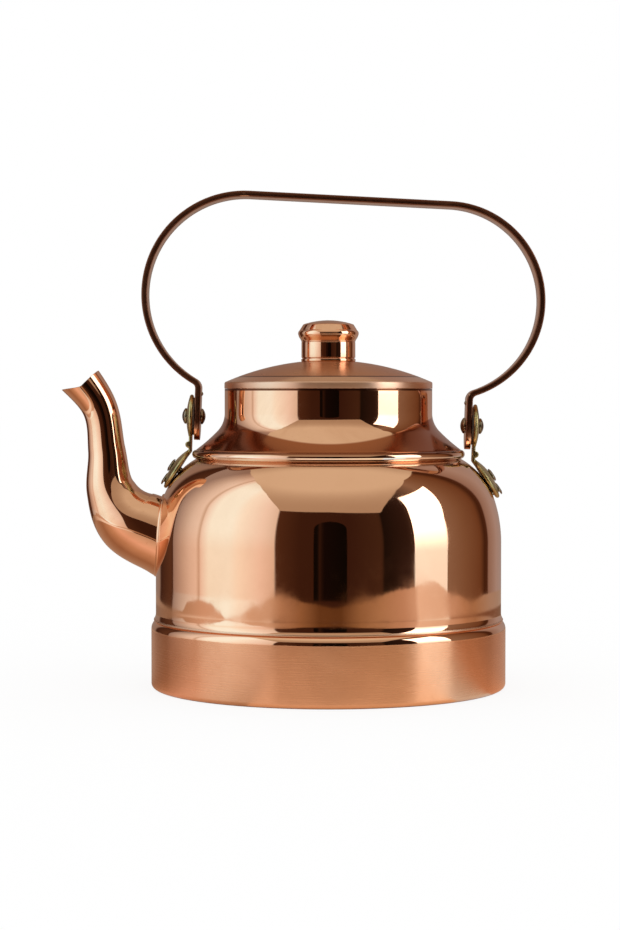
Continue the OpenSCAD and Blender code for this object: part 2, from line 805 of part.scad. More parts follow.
module knob_cap() {
  spigot = barrel_r - barrel_t - cap_spigot_gap;
  lip_h = 0.4;
  cove_mid = [barrel_r + (cap_r - barrel_r) * 0.5, cap_z + cap_cove_h * 0.45];
  rim_r = 2.2;
  rim_start = -20;
  rim_end = 50;
  crown_rise = cap_dome_h * 0.31;
  crown_edge = cap_r * 0.83;
  crown_r = (pow(crown_edge, 2) + pow(crown_rise, 2)) / (2 * crown_rise);
  color(copper)
    difference() {
      rotate_extrude()
        polygon(concat(
          [[0, cap_z - cap_spigot_h], [spigot, cap_z - cap_spigot_h], [spigot, cap_z]],
          [[barrel_r, cap_z], [barrel_r, cap_z + lip_h], cove_mid],
          arc(cap_r - rim_r, cap_wide_z, rim_r, rim_start, rim_end),
          arc(0, cap_top_z - crown_r, crown_r, acos(crown_edge / crown_r), 90)
        ));
      translate([0, 0, cap_z - cap_spigot_h - cut_past])
        cylinder(r = stud_r + stud_gap, h = cut_past + stud_into_cap + stud_end_gap);
    }
}

module knob_stud() {
  bottom = nut_z - stud_past_nut;
  color(steel)
    translate([0, 0, bottom]) cylinder(r = stud_r, h = cap_z - cap_spigot_h + stud_into_cap - bottom);
}

module knob_washer() {
  color(steel)
    difference() {
      translate([0, 0, washer_z]) cylinder(r = knob_washer_r, h = knob_washer_t);
      bore_up(washer_z, knob_washer_t, stud_r + stud_gap);
    }
}

module knob_nut() {
  color(steel)
    difference() {
      translate([0, 0, nut_z]) cylinder(r = knob_nut_r, h = knob_nut_h, $fn = 6);
      bore_up(nut_z, knob_nut_h, stud_r + stud_gap);
    }
}

base_pan();
body_shell();
neck_collar();
shoulder_bead();
spout();
spout_seam_ring();
ear(left);  // ear_left
ear(right);  // ear_right
shoulder_rivets(left);  // shoulder_rivets_left
shoulder_rivets(right);  // shoulder_rivets_right
pivot_rivet(left);  // pivot_rivet_left
pivot_rivet(right);  // pivot_rivet_right
pivot_washer(left);  // pivot_washer_left
pivot_washer(right);  // pivot_washer_right
bail_strap();
bail_stud(left);  // bail_stud_left
bail_stud(right);  // bail_stud_right
lid_cover();
lid_skirt();
knob_ferrule();
knob_barrel();
knob_cap();
knob_stud();
knob_washer();
knob_nut();
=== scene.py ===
"""A copper stovetop kettle: the shaped pieces, their finishes, and the plain studio round them."""

import json
import math

import bmesh
import bpy
from bpy.props import FloatProperty, FloatVectorProperty, IntProperty, PointerProperty
from bpy.types import Operator, Panel, PropertyGroup
from mathutils import Matrix, Vector


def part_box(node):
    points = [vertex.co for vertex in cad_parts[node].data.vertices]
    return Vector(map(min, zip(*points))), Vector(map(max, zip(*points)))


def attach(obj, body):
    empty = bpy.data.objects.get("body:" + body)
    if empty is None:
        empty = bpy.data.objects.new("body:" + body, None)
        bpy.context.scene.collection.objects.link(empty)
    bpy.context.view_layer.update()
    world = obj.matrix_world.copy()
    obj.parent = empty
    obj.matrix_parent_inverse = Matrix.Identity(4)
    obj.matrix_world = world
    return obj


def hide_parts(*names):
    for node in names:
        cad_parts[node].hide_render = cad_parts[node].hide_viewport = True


bl_info = {
    "name": "Copper Stovetop Kettle",
    "version": (1, 0, 0),
    "blender": (4, 5, 0),
    "location": "3D View > Sidebar > Kettle",
    "description": "Builds the kettle's shaped pieces and finishes, one piece at a time",
    "category": "Object",
}

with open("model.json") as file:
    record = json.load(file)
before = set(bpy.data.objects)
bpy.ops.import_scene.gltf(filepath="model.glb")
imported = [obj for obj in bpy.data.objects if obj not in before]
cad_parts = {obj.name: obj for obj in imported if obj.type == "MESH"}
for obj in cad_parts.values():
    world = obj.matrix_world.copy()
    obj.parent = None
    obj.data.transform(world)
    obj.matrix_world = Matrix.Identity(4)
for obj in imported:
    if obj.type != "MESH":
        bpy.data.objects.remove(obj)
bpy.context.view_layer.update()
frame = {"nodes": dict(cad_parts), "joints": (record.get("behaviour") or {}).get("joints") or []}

LEFT, RIGHT = -1, 1


def top_of(node):
    """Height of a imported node's highest point."""
    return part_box(node)[1].z


def foot_of(node):
    """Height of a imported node's lowest point."""
    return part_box(node)[0].z


def reach_of(node):
    """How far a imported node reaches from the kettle's axis."""
    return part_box(node)[1].y


def hinge():
    """The bail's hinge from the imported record: its middle and its direction."""
    swing = next(j for j in frame["joints"] if j["name"] == "bail_swing")
    return Vector(swing["pos_m"]), Vector(swing["axis"]).normalized()


# ---------------------------------------------------------------- sizes


class BodySizes(PropertyGroup):
    """Sizes of the base pan, the raised body and the neck."""

    sheet: FloatProperty(
        name="Sheet", description="Thickness of the body's sheet",
        default=0.0012, unit="LENGTH", subtype="DISTANCE")
    pan_corner: FloatProperty(
        name="Pan Corner", description="Radius of the pan's lower corner",
        default=0.0025, unit="LENGTH", subtype="DISTANCE")
    pan_wall: FloatProperty(
        name="Pan Wall", description="Height of the pan's straight wall",
        default=0.030, unit="LENGTH", subtype="DISTANCE")
    roll: FloatProperty(
        name="Lip Roll", description="Radius of the roll at the pan's lip",
        default=0.005, unit="LENGTH", subtype="DISTANCE")
    roll_turn: FloatProperty(
        name="Lip Turn", description="Angle that the lip rolls through",
        default=math.radians(57.3), subtype="ANGLE")
    wall: FloatProperty(
        name="Body Radius", description="Outside radius of the body's wall",
        default=0.0877, unit="LENGTH", subtype="DISTANCE")
    wall_height: FloatProperty(
        name="Body Wall", description="Height of the straight wall over the pan",
        default=0.0394, unit="LENGTH", subtype="DISTANCE")
    foot_flare: FloatProperty(
        name="Foot Flare", description="How far the body's foot flares over the lip",
        default=0.001, unit="LENGTH", subtype="DISTANCE")
    long_curve: FloatProperty(
        name="Long Curve", description="Radius of the long curve that starts the shoulder",
        default=0.070, unit="LENGTH", subtype="DISTANCE")
    tight_curve: FloatProperty(
        name="Tight Curve", description="Radius of the curve that closes the shoulder",
        default=0.037, unit="LENGTH", subtype="DISTANCE")
    shoulder_turn: FloatProperty(
        name="Shoulder Turn", description="Angle that the long curve turns through",
        default=math.radians(17.6), subtype="ANGLE")
    seam: FloatProperty(
        name="Seam Radius", description="Radius of the seam between shoulder and collar",
        default=0.067, unit="LENGTH", subtype="DISTANCE")
    bead: FloatProperty(
        name="Bead", description="Radius of the round bead over the seam",
        default=0.0022, unit="LENGTH", subtype="DISTANCE")
    neck: FloatProperty(
        name="Neck Radius", description="Outside radius of the neck",
        default=0.0527, unit="LENGTH", subtype="DISTANCE")
    neck_sheet: FloatProperty(
        name="Neck Sheet", description="Thickness of the collar's sheet",
        default=0.001, unit="LENGTH", subtype="DISTANCE")
    flare_tight: FloatProperty(
        name="Neck Curve", description="Radius of the tight curve below the neck",
        default=0.013, unit="LENGTH", subtype="DISTANCE")
    flare_long: FloatProperty(
        name="Collar Curve", description="Radius of the long curve down to the seam",
        default=0.084, unit="LENGTH", subtype="DISTANCE")
    flare_turn: FloatProperty(
        name="Collar Turn", description="Angle of the collar where its two curves meet",
        default=math.radians(44), subtype="ANGLE")


class LidSizes(PropertyGroup):
    """Sizes of the lid and its knob."""

    sheet: FloatProperty(
        name="Sheet", description="Thickness of the lid's sheet",
        default=0.001, unit="LENGTH", subtype="DISTANCE")
    edge: FloatProperty(
        name="Edge", description="Height of the lid's upright edge",
        default=0.0025, unit="LENGTH", subtype="DISTANCE")
    corner: FloatProperty(
        name="Corner", description="Radius of the round corner between edge and dome",
        default=0.001, unit="LENGTH", subtype="DISTANCE")
    rise: FloatProperty(
        name="Rise", description="Rise of the lid's dome over its edge",
        default=0.0119, unit="LENGTH", subtype="DISTANCE")
    ring: FloatProperty(
        name="Ring Radius", description="Radius of the ring under the knob",
        default=0.0138, unit="LENGTH", subtype="DISTANCE")
    ring_height: FloatProperty(
        name="Ring Height", description="Height of the ring under the knob",
        default=0.0015, unit="LENGTH", subtype="DISTANCE")
    barrel: FloatProperty(
        name="Barrel Radius", description="Radius of the knob's barrel",
        default=0.0137, unit="LENGTH", subtype="DISTANCE")
    cap: FloatProperty(
        name="Cap Radius", description="Radius of the knob's cap at its widest",
        default=0.0154, unit="LENGTH", subtype="DISTANCE")
    cove: FloatProperty(
        name="Cove", description="Height from the barrel to the cap's widest point",
        default=0.0043, unit="LENGTH", subtype="DISTANCE")
    crown: FloatProperty(
        name="Crown", description="Height of the cap over its widest point",
        default=0.00675, unit="LENGTH", subtype="DISTANCE")


class SpoutSizes(PropertyGroup):
    """Sizes of the swan-neck spout."""

    root: FloatProperty(
        name="Root Radius", description="Radius of the spout where it leaves the body",
        default=0.0195, unit="LENGTH", subtype="DISTANCE")
    throat: FloatProperty(
        name="Throat Radius", description="Radius of the spout at its narrowest",
        default=0.009, unit="LENGTH", subtype="DISTANCE")
    mouth: FloatProperty(
        name="Mouth Radius", description="Radius of the spout at its flared mouth",
        default=0.0115, unit="LENGTH", subtype="DISTANCE")
    sheet: FloatProperty(
        name="Sheet", description="Thickness of the spout's sheet",
        default=0.0011, unit="LENGTH", subtype="DISTANCE")
    root_up: FloatProperty(
        name="Root Height", description="Height of the spout's root over the body's foot",
        default=0.041, unit="LENGTH", subtype="DISTANCE")
    sides: IntProperty(name="Sides", description="Facets round the spout", default=64)
    rings: IntProperty(name="Rings", description="Rings along the spout", default=90)


class BailSizes(PropertyGroup):
    """Sizes of the strap bail, its ears and its rivets."""

    leg_out: FloatProperty(
        name="Leg Distance", description="From the middle to the outer face of each leg",
        default=0.0702, unit="LENGTH", subtype="DISTANCE")
    strap: FloatProperty(
        name="Strap Thickness", description="Thickness of the strap",
        default=0.003, unit="LENGTH", subtype="DISTANCE")
    width: FloatProperty(
        name="Strap Width", description="Width of the strap",
        default=0.018, unit="LENGTH", subtype="DISTANCE")
    leg_drop: FloatProperty(
        name="Leg Drop", description="Length of each leg below the hinge line",
        default=0.012, unit="LENGTH", subtype="DISTANCE")
    loop: FloatProperty(
        name="Loop Radius", description="Outside radius of the loop's left end",
        default=0.0522, unit="LENGTH", subtype="DISTANCE")
    loop_less: FloatProperty(
        name="Right Tighter", description="How much tighter the loop's right end is",
        default=0.002, unit="LENGTH", subtype="DISTANCE")
    loop_flat: FloatProperty(
        name="Loop Flat", description="Half the length of the loop's flat top",
        default=0.0507, unit="LENGTH", subtype="DISTANCE")
    loop_up: FloatProperty(
        name="Loop Height", description="Height of the left end's middle over the hinge line",
        default=0.0623, unit="LENGTH", subtype="DISTANCE")
    loop_raise: FloatProperty(
        name="Right Higher", description="How much higher the right end's middle stands",
        default=0.0003, unit="LENGTH", subtype="DISTANCE")
    loop_shift: FloatProperty(
        name="Loop Shift", description="Sideways shift of the loop over its legs",
        default=0.004, unit="LENGTH", subtype="DISTANCE")
    bend: FloatProperty(
        name="Leg Bend", description="Middle radius of the bend between leg and loop",
        default=0.004, unit="LENGTH", subtype="DISTANCE")
    upper_lobe: FloatProperty(
        name="Upper Lobe", description="Radius of each ear's upper lobe",
        default=0.011, unit="LENGTH", subtype="DISTANCE")
    lower_lobe: FloatProperty(
        name="Lower Lobe", description="Radius of each ear's lower lobe",
        default=0.0115, unit="LENGTH", subtype="DISTANCE")
    lobe_edge: FloatProperty(
        name="Lobe Edge", description="Thickness of both lobes at their edges",
        default=0.002, unit="LENGTH", subtype="DISTANCE")
    ear_drop: FloatProperty(
        name="Ear Drop", description="From the hinge line down to the bend of the ear",
        default=0.018, unit="LENGTH", subtype="DISTANCE")
    rivet_pitch: FloatProperty(
        name="Rivet Pitch", description="Distance between the two rivets of an ear",
        default=0.0074, unit="LENGTH", subtype="DISTANCE")
    pivot_head: FloatProperty(
        name="Pivot Head", description="Radius of the pivot rivets' heads",
        default=0.004, unit="LENGTH", subtype="DISTANCE")


class Finishes(PropertyGroup):
    """Colours and sheens of the kettle's metals."""

    copper: FloatVectorProperty(
        name="Copper", description="Colour of the polished copper",
        default=(0.93, 0.56, 0.36), subtype="COLOR", min=0, max=1)
    tarnish: FloatVectorProperty(
        name="Tarnish", description="Colour of the copper where it has browned",
        default=(0.62, 0.29, 0.15), subtype="COLOR", min=0, max=1)
    satin: FloatVectorProperty(
        name="Satin Copper", description="Colour of the turned wall of the base pan",
        default=(0.82, 0.43, 0.25), subtype="COLOR", min=0, max=1)
    strap: FloatVectorProperty(
        name="Strap", description="Colour of the strap's browned edges",
        default=(0.17, 0.065, 0.035), subtype="COLOR", min=0, max=1)
    brass: FloatVectorProperty(
        name="Brass", description="Colour of the ears where they are rubbed bright",
        default=(0.60, 0.50, 0.24), subtype="COLOR", min=0, max=1)
    olive: FloatVectorProperty(
        name="Olive Patina", description="Colour of the ears in their hollows",
        default=(0.22, 0.20, 0.075), subtype="COLOR", min=0, max=1)
    tin: FloatVectorProperty(
        name="Tin", description="Colour of the tin lining",
        default=(0.62, 0.61, 0.58), subtype="COLOR", min=0, max=1)


class StudioSizes(PropertyGroup):
    """Places of the camera and the cards round the kettle."""

    distance: FloatProperty(
        name="Camera Distance", description="From the kettle's axis to the camera",
        default=1.15, unit="LENGTH", subtype="DISTANCE")
    height: FloatProperty(
        name="Camera Height", description="Height of the camera over the floor",
        default=0.1483, unit="LENGTH", subtype="DISTANCE")
    aim: FloatProperty(
        name="Aim Height", description="Height of the point that the camera looks at",
        default=0.1126, unit="LENGTH", subtype="DISTANCE")
    aside: FloatProperty(
        name="Camera Aside", description="How far the camera and its aim stand left of the axis",
        default=0.00935, unit="LENGTH", subtype="DISTANCE")
    lens: FloatProperty(
        name="Lens", description="Focal length of the camera",
        default=87.56, unit="CAMERA")
    cards: FloatProperty(
        name="Card Distance", description="From the kettle's axis to the cards round it",
        default=0.64, unit="LENGTH", subtype="DISTANCE")
    card_height: FloatProperty(
        name="Card Height", description="Half the height of the room that the cards make",
        default=0.65, unit="LENGTH", subtype="DISTANCE")


# ---------------------------------------------------------------- outlines and meshes

# Points nearer than this are one point, and a radius under this lies on the axis, in metres
TOUCHING, ON_AXIS = 1e-7, 1e-6
# Faces that meet at more than this angle, in degrees, keep a sharp edge
SHARP = 40
# Steps round the body's pieces, the neck's and the lid's, the knob's, the lobes' and the rivets'
BODY_STEPS, NECK_STEPS, KNOB_STEPS, LOBE_STEPS, RIVET_STEPS = 320, 256, 160, 96, 64


def arc(cx, cy, r, start, end, step=1.5):
    """Points along an arc round (cx, cy), from one angle to another, in degrees."""
    count = max(2, math.ceil(abs(end - start) / step))
    angles = [math.radians(start + (end - start) * i / count) for i in range(count + 1)]
    return [(cx + r * math.cos(a), cy + r * math.sin(a)) for a in angles]


def eased(outline, r=0.0003, least=25):
    """The closed outline with each sharp corner rounded off over a short length."""
    points = []
    for i, here in enumerate(outline):
        a, b, c = Vector(outline[i - 1]), Vector(here), Vector(outline[(i + 1) % len(outline)])
        into, out = b - a, c - b
        short = into.length < TOUCHING or out.length < TOUCHING
        if short or b.x < ON_AXIS or math.degrees(into.angle(out)) < least:
            points.append(tuple(b))
            continue
        back = b - into.normalized() * min(r, into.length * 0.45)
        ahead = b + out.normalized() * min(r, out.length * 0.45)
        for t in (0, 0.25, 0.5, 0.75, 1):
            points.append(tuple(back * (1 - t) ** 2 + b * 2 * t * (1 - t) + ahead * t * t))
    return points


def solid(name, vertices, faces, inner=()):
    """A smooth-shaded object in the scene, whose faces in inner take its second material."""
    mesh = bpy.data.meshes.new(name)
    mesh.from_pydata([tuple(v) for v in vertices], [], faces)
    mesh.polygons.foreach_set("use_smooth", [True] * len(mesh.polygons))
    for i in inner:
        mesh.polygons[i].material_index = 1
    shaped = bmesh.new()
    shaped.from_mesh(mesh)
    bmesh.ops.remove_doubles(shaped, verts=shaped.verts, dist=TOUCHING)
    bmesh.ops.recalc_face_normals(shaped, faces=shaped.faces)
    shaped.to_mesh(mesh)
    shaped.free()
    mesh.update()
    mesh.set_sharp_from_angle(angle=math.radians(SHARP))
    piece = bpy.data.objects.new(name, mesh)
    bpy.context.scene.collection.objects.link(piece)
    return piece


def downward(a, b):
    """Whether an outline runs down from a to b, as it does on the inside of an open vessel."""
    return b[1] < a[1]


def turned(name, outline, steps, place=None, lined=None):
    """A piece turned round Z from its closed outline of (radius, height), then put in place."""
    place = place or Matrix.Identity(4)
    vertices, rings, faces, inner = [], [], [], []
    for r, z in outline:
        if r < ON_AXIS:
            rings.append([len(vertices)] * steps)
            vertices.append(place @ Vector((0, 0, z)))
            continue
        rings.append(range(len(vertices), len(vertices) + steps))
        for k in range(steps):
            a = 2 * math.pi * k / steps
            vertices.append(place @ Vector((r * math.cos(a), r * math.sin(a), z)))
    for i, ring in enumerate(rings):
        above = rings[(i + 1) % len(rings)]
        for k in range(steps):
            n = (k + 1) % steps
            corners = list(dict.fromkeys((ring[k], ring[n], above[n], above[k])))
            if len(corners) > 2:
                if lined and lined(outline[i], outline[(i + 1) % len(outline)]):
                    inner.append(len(faces))
                faces.append(corners)
    return solid(name, vertices, faces, inner)


def netted(name, rows, open_ends=False, inner=()):
    """A piece from rows of points, each row closed on itself, with the last row joined to the
    first, or with both ends closed by a face."""
    width = len(rows[0])
    vertices = [p for row in rows for p in row]
    faces, inside = [], []
    last = len(rows) - 1 if open_ends else len(rows)
    for j in range(last):
        here, there = j * width, ((j + 1) % len(rows)) * width
        for k in range(width):
            n = (k + 1) % width
            if j in inner:
                inside.append(len(faces))
            faces.append([here + k, here + n, there + n, there + k])
    if open_ends:
        faces.append(list(range(width))[::-1])
        faces.append(list(range((len(rows) - 1) * width, len(rows) * width)))
    return solid(name, vertices, faces, inside)


def rounded_section(half, low, high, r):
    """Points round a section with round corners, as (across, out)."""
    corners = ((half - r, high - r, 0), (-(half - r), high - r, 90),
               (-(half - r), low + r, 180), (half - r, low + r, 270))
    turns = [(across, out, math.radians(start + t)) for across, out, start in corners
             for t in (0, 30, 60, 90)]
    return [(across + r * math.cos(a), out + r * math.sin(a)) for across, out, a in turns]


def joined(name, pieces):
    """Several pieces as one object."""
    vertices, faces = [], []
    for piece in pieces:
        start = len(vertices)
        vertices += [v.co.copy() for v in piece.data.vertices]
        faces += [[start + i for i in p.vertices] for p in piece.data.polygons]
        mesh = piece.data
        bpy.data.objects.remove(piece)
        bpy.data.meshes.remove(mesh)
    return solid(name, vertices, faces)


def settle(piece, nodes, body, slot, *materials):
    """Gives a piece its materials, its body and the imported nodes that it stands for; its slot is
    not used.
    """
    for material in materials:
        piece.data.materials.append(material)
    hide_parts(*nodes)
    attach(piece, body)


def dress(node, material):
    """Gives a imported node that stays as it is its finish."""
    mesh = frame["nodes"][node].data
    mesh.materials.clear()
    mesh.materials.append(material)


# ---------------------------------------------------------------- shader groups


def add(tree, kind, inputs=None, **settings):
    """A node in the tree, with its settings, its plain input values and its links."""
    made = tree.nodes.new(kind)
    for key, value in settings.items():
        setattr(made, key, value)
    for key, value in (inputs or {}).items():
        if isinstance(value, bpy.types.NodeSocket):
            tree.links.new(value, made.inputs[key])
        else:
            made.inputs[key].default_value = value
    return made


def sums(tree, operation, a, b=0.0, clamp=False):
    """One step of arithmetic on values, as an output socket."""
    made = add(tree, "ShaderNodeMath", {0: a, 1: b}, operation=operation, use_clamp=clamp)
    return made.outputs[0]


def blended(tree, factor, a, b, blend="MIX"):
    """Two colours mixed, as an output socket."""
    made = add(tree, "ShaderNodeMix", {0: factor, 6: a, 7: b}, data_type="RGBA", blend_type=blend)
    return made.outputs[2]


def between(tree, value, low, high, to_low=0.0, to_high=1.0):
    """A value mapped smoothly from one range to another, as an output socket."""
    made = add(tree, "ShaderNodeMapRange",
               {0: value, 1: low, 2: high, 3: to_low, 4: to_high}, interpolation_type="SMOOTHSTEP")
    return made.outputs[0]


def mixed(tree, factor, a, b):
    """Two values mixed, as an output socket."""
    return add(tree, "ShaderNodeMix", {0: factor, 2: a, 3: b}).outputs[0]


def place_on(tree):
    """The place on the piece in its own metres, as an output socket."""
    return add(tree, "ShaderNodeTexCoord").outputs["Object"]


def split(tree, vector):
    """The X, Y and Z of a vector, as output sockets."""
    return add(tree, "ShaderNodeSeparateXYZ", {0: vector}).outputs


def vectored(tree, operation, vector, output="Vector"):
    """One step of arithmetic on a vector, as an output socket."""
    return add(tree, "ShaderNodeVectorMath", {0: vector}, operation=operation).outputs[output]


def laid_flat(tree, place):
    """A place without its height, as an output socket."""
    x, y, _ = split(tree, place)
    return add(tree, "ShaderNodeCombineXYZ", {0: x, 1: y}).outputs[0]


def off_axis(tree, place):
    """How far a place is from the kettle's axis, as an output socket."""
    return vectored(tree, "LENGTH", laid_flat(tree, place), "Value")


def height_over_floor(tree):
    """The height of the place on the piece, as an output socket."""
    return split(tree, place_on(tree))[2]


def noise(tree, place, scale, detail, roughness=0.5, distortion=0.0):
    """Soft noise round 0.5, as an output socket."""
    return add(tree, "ShaderNodeTexNoise", {
        "Vector": place, "Scale": scale, "Detail": detail,
        "Roughness": roughness, "Distortion": distortion}).outputs[0]


def rgba(colour):
    """A colour with its alpha."""
    return (*colour, 1.0)


def new_group(name, ins, outs):
    """An empty shader group with named inputs and outputs."""
    tree = bpy.data.node_groups.new(name, "ShaderNodeTree")
    for label, kind, default in ins:
        made = tree.interface.new_socket(name=label, in_out="INPUT", socket_type=kind)
        made.default_value = default
    for label, kind in outs:
        tree.interface.new_socket(name=label, in_out="OUTPUT", socket_type=kind)
    return tree, tree.nodes.new("NodeGroupInput"), tree.nodes.new("NodeGroupOutput")


NUMBER, COLOUR = "NodeSocketFloat", "NodeSocketColor"


def make_turning_marks():
    """Fine rings left by turning: the same all round the axis, and uneven from ring to ring."""
    tree, given, made = new_group(
        "Turning Marks",
        [("Rings", NUMBER, 2500.0), ("Unevenness", NUMBER, 0.5)],
        [("Height", NUMBER), ("Tone", NUMBER)])
    place = place_on(tree)
    climb = sums(tree, "ADD", off_axis(tree, place), split(tree, place)[2])
    turn = split(tree, vectored(tree, "NORMALIZE", laid_flat(tree, place)))

    def rings(pitch, round_about, detail, roughness):
        """Noise drawn out round the axis."""
        stretched = add(tree, "ShaderNodeCombineXYZ", {
            0: sums(tree, "MULTIPLY", climb, pitch),
            1: sums(tree, "MULTIPLY", turn[0], round_about),
            2: sums(tree, "MULTIPLY", turn[1], round_about)})
        return noise(tree, stretched.outputs[0], 1.0, detail, roughness)

    fine = rings(given.outputs["Rings"], 2.0, 3.0, 0.6)
    broad = rings(160.0, 3.0, 2.0, 0.5)
    tree.links.new(fine, made.inputs["Height"])
    tree.links.new(mixed(tree, given.outputs["Unevenness"], fine, broad), made.inputs["Tone"])
    return tree


def make_hand_polish():
    """A hand-polished face: slow hammered waves, hairline scratches and a few duller patches."""
    tree, given, made = new_group(
        "Hand Polish",
        [("Wave Scale", NUMBER, 30.0), ("Scratch Scale", NUMBER, 900.0),
         ("Dull From", NUMBER, 0.03), ("Dull To", NUMBER, 0.10)],
        [("Height", NUMBER), ("Roughness", NUMBER)])
    place = place_on(tree)
    waves = noise(tree, place, given.outputs["Wave Scale"], 1.0, 0.4)
    squeezed = add(tree, "ShaderNodeVectorMath",
                   {0: place, 1: (0.05, 0.05, 1.0)}, operation="MULTIPLY")
    hairs = noise(tree, squeezed.outputs[0], given.outputs["Scratch Scale"], 4.0, 0.7, 0.15)
    dull = between(tree, noise(tree, place, 55.0, 5.0, 0.65), 0.42, 0.72)
    scratched = sums(tree, "MULTIPLY", between(tree, hairs, 0.55, 0.8), 0.35)
    amount = sums(tree, "ADD", dull, scratched, clamp=True)
    height = sums(tree, "ADD", waves, sums(tree, "MULTIPLY", hairs, 0.004))
    tree.links.new(height, made.inputs["Height"])
    tree.links.new(mixed(tree, amount, given.outputs["Dull From"], given.outputs["Dull To"]),
                   made.inputs["Roughness"])
    return tree


def make_tarnish():
    """Clean metal that has browned in soft clouds and small spots."""
    tree, given, made = new_group(
        "Tarnish",
        [("Clean", COLOUR, (0.9, 0.55, 0.35, 1)), ("Browned", COLOUR, (0.5, 0.25, 0.12, 1)),
         ("Cloud Scale", NUMBER, 28.0), ("Amount", NUMBER, 0.4)],
        [("Color", COLOUR), ("Mask", NUMBER)])
    place = place_on(tree)
    clouds = noise(tree, place, given.outputs["Cloud Scale"], 6.0, 0.62, 0.6)
    soft = between(tree, clouds, 0.35, 0.75)
    spots = noise(tree, place, 420.0, 3.0, 0.6)
    small = sums(tree, "MULTIPLY", between(tree, spots, 0.62, 0.78), 0.5)
    both = sums(tree, "ADD", soft, small, clamp=True)
    mask = sums(tree, "MULTIPLY", both, given.outputs["Amount"])
    tree.links.new(blended(tree, mask, given.outputs["Clean"], given.outputs["Browned"]),
                   made.inputs["Color"])
    tree.links.new(mask, made.inputs["Mask"])
    return tree


def make_edge_wear():
    """Where a piece's edges stand out and are rubbed, and its corners stay filled."""
    tree, given, made = new_group(
        "Edge Wear",
        [("From", NUMBER, 0.51), ("To", NUMBER, 0.58), ("Break-up", NUMBER, 0.5)],
        [("Rubbed", NUMBER), ("Hollow", NUMBER)])
    edges = add(tree, "ShaderNodeNewGeometry").outputs["Pointiness"]
    grit = noise(tree, place_on(tree), 350.0, 4.0, 0.65)
    offset = sums(tree, "MULTIPLY", sums(tree, "SUBTRACT", grit, 0.5),
                  sums(tree, "MULTIPLY", given.outputs["Break-up"], 0.12))
    broken = sums(tree, "ADD", edges, offset)
    tree.links.new(between(tree, broken, given.outputs["From"], given.outputs["To"]),
                   made.inputs["Rubbed"])
    tree.links.new(between(tree, broken, 0.49, 0.44), made.inputs["Hollow"])
    return tree


def make_tint_and_painted_light_band():
    """A zone between two heights, climbing towards the ears, that takes another colour: painted
    shade or a painted highlight on some pieces, a darker, duller tint on others.
    """
    tree, given, made = new_group(
        "Tint and Painted Light Band",
        [("Low", NUMBER, 0.0), ("High", NUMBER, 1.0),
         ("Climb", NUMBER, 0.0), ("Soft", NUMBER, 0.0004)],
        [("Mask", NUMBER)])
    x, _, z = split(tree, place_on(tree))
    climb = sums(tree, "MULTIPLY", sums(tree, "POWER", x, 2.0), given.outputs["Climb"])
    up = sums(tree, "SUBTRACT", z, climb)
    low, high, soft = (given.outputs[name] for name in ("Low", "High", "Soft"))
    over = between(tree, up, sums(tree, "SUBTRACT", low, soft), sums(tree, "ADD", low, soft))
    under = between(tree, up, sums(tree, "ADD", high, soft), sums(tree, "SUBTRACT", high, soft))
    tree.links.new(sums(tree, "MULTIPLY", over, under), made.inputs["Mask"])
    return tree


GROUP_MAKERS = {
    "Turning Marks": make_turning_marks,
    "Hand Polish": make_hand_polish,
    "Tarnish": make_tarnish,
    "Edge Wear": make_edge_wear,
    "Tint and Painted Light Band": make_tint_and_painted_light_band,
}


def group_in(tree, name, **values):
    """A shader group placed in a material, with its own values, and built when first asked for."""
    if name not in bpy.data.node_groups:
        GROUP_MAKERS[name]()
    made = add(tree, "ShaderNodeGroup", node_tree=bpy.data.node_groups[name])
    for key, value in values.items():
        socket = made.inputs[key.replace("_", " ").replace("Break up", "Break-up")]
        if isinstance(value, bpy.types.NodeSocket):
            tree.links.new(value, socket)
        else:
            socket.default_value = value
    return made


def metal(name, metallic=1.0, anisotropy=0.0):
    """A new material with a plain Principled shader: the tree and the shader."""
    material = bpy.data.materials.new(name)
    material.use_nodes = True
    tree = material.node_tree
    tree.nodes.clear()
    shader = add(tree, "ShaderNodeBsdfPrincipled")
    shader.inputs["Metallic"].default_value = metallic
    shader.inputs["Anisotropic"].default_value = anisotropy
    out = add(tree, "ShaderNodeOutputMaterial")
    tree.links.new(shader.outputs[0], out.inputs["Surface"])
    return material, tree, shader


def bump(tree, shader, height, depth):
    """The shader's normal from a height, with its depth in metres."""
    made = add(tree, "ShaderNodeBump", {"Height": height, "Distance": depth, "Strength": 1.0})
    tree.links.new(made.outputs[0], shader.inputs["Normal"])


def brushed_round(tree, shader):
    """Highlights that stretch across marks left by turning."""
    shader.inputs["Anisotropic Rotation"].default_value = 0.25
    around = add(tree, "ShaderNodeTangent", direction_type="RADIAL", axis="Z")
    tree.links.new(around.outputs[0], shader.inputs["Tangent"])


# ---------------------------------------------------------------- finishes


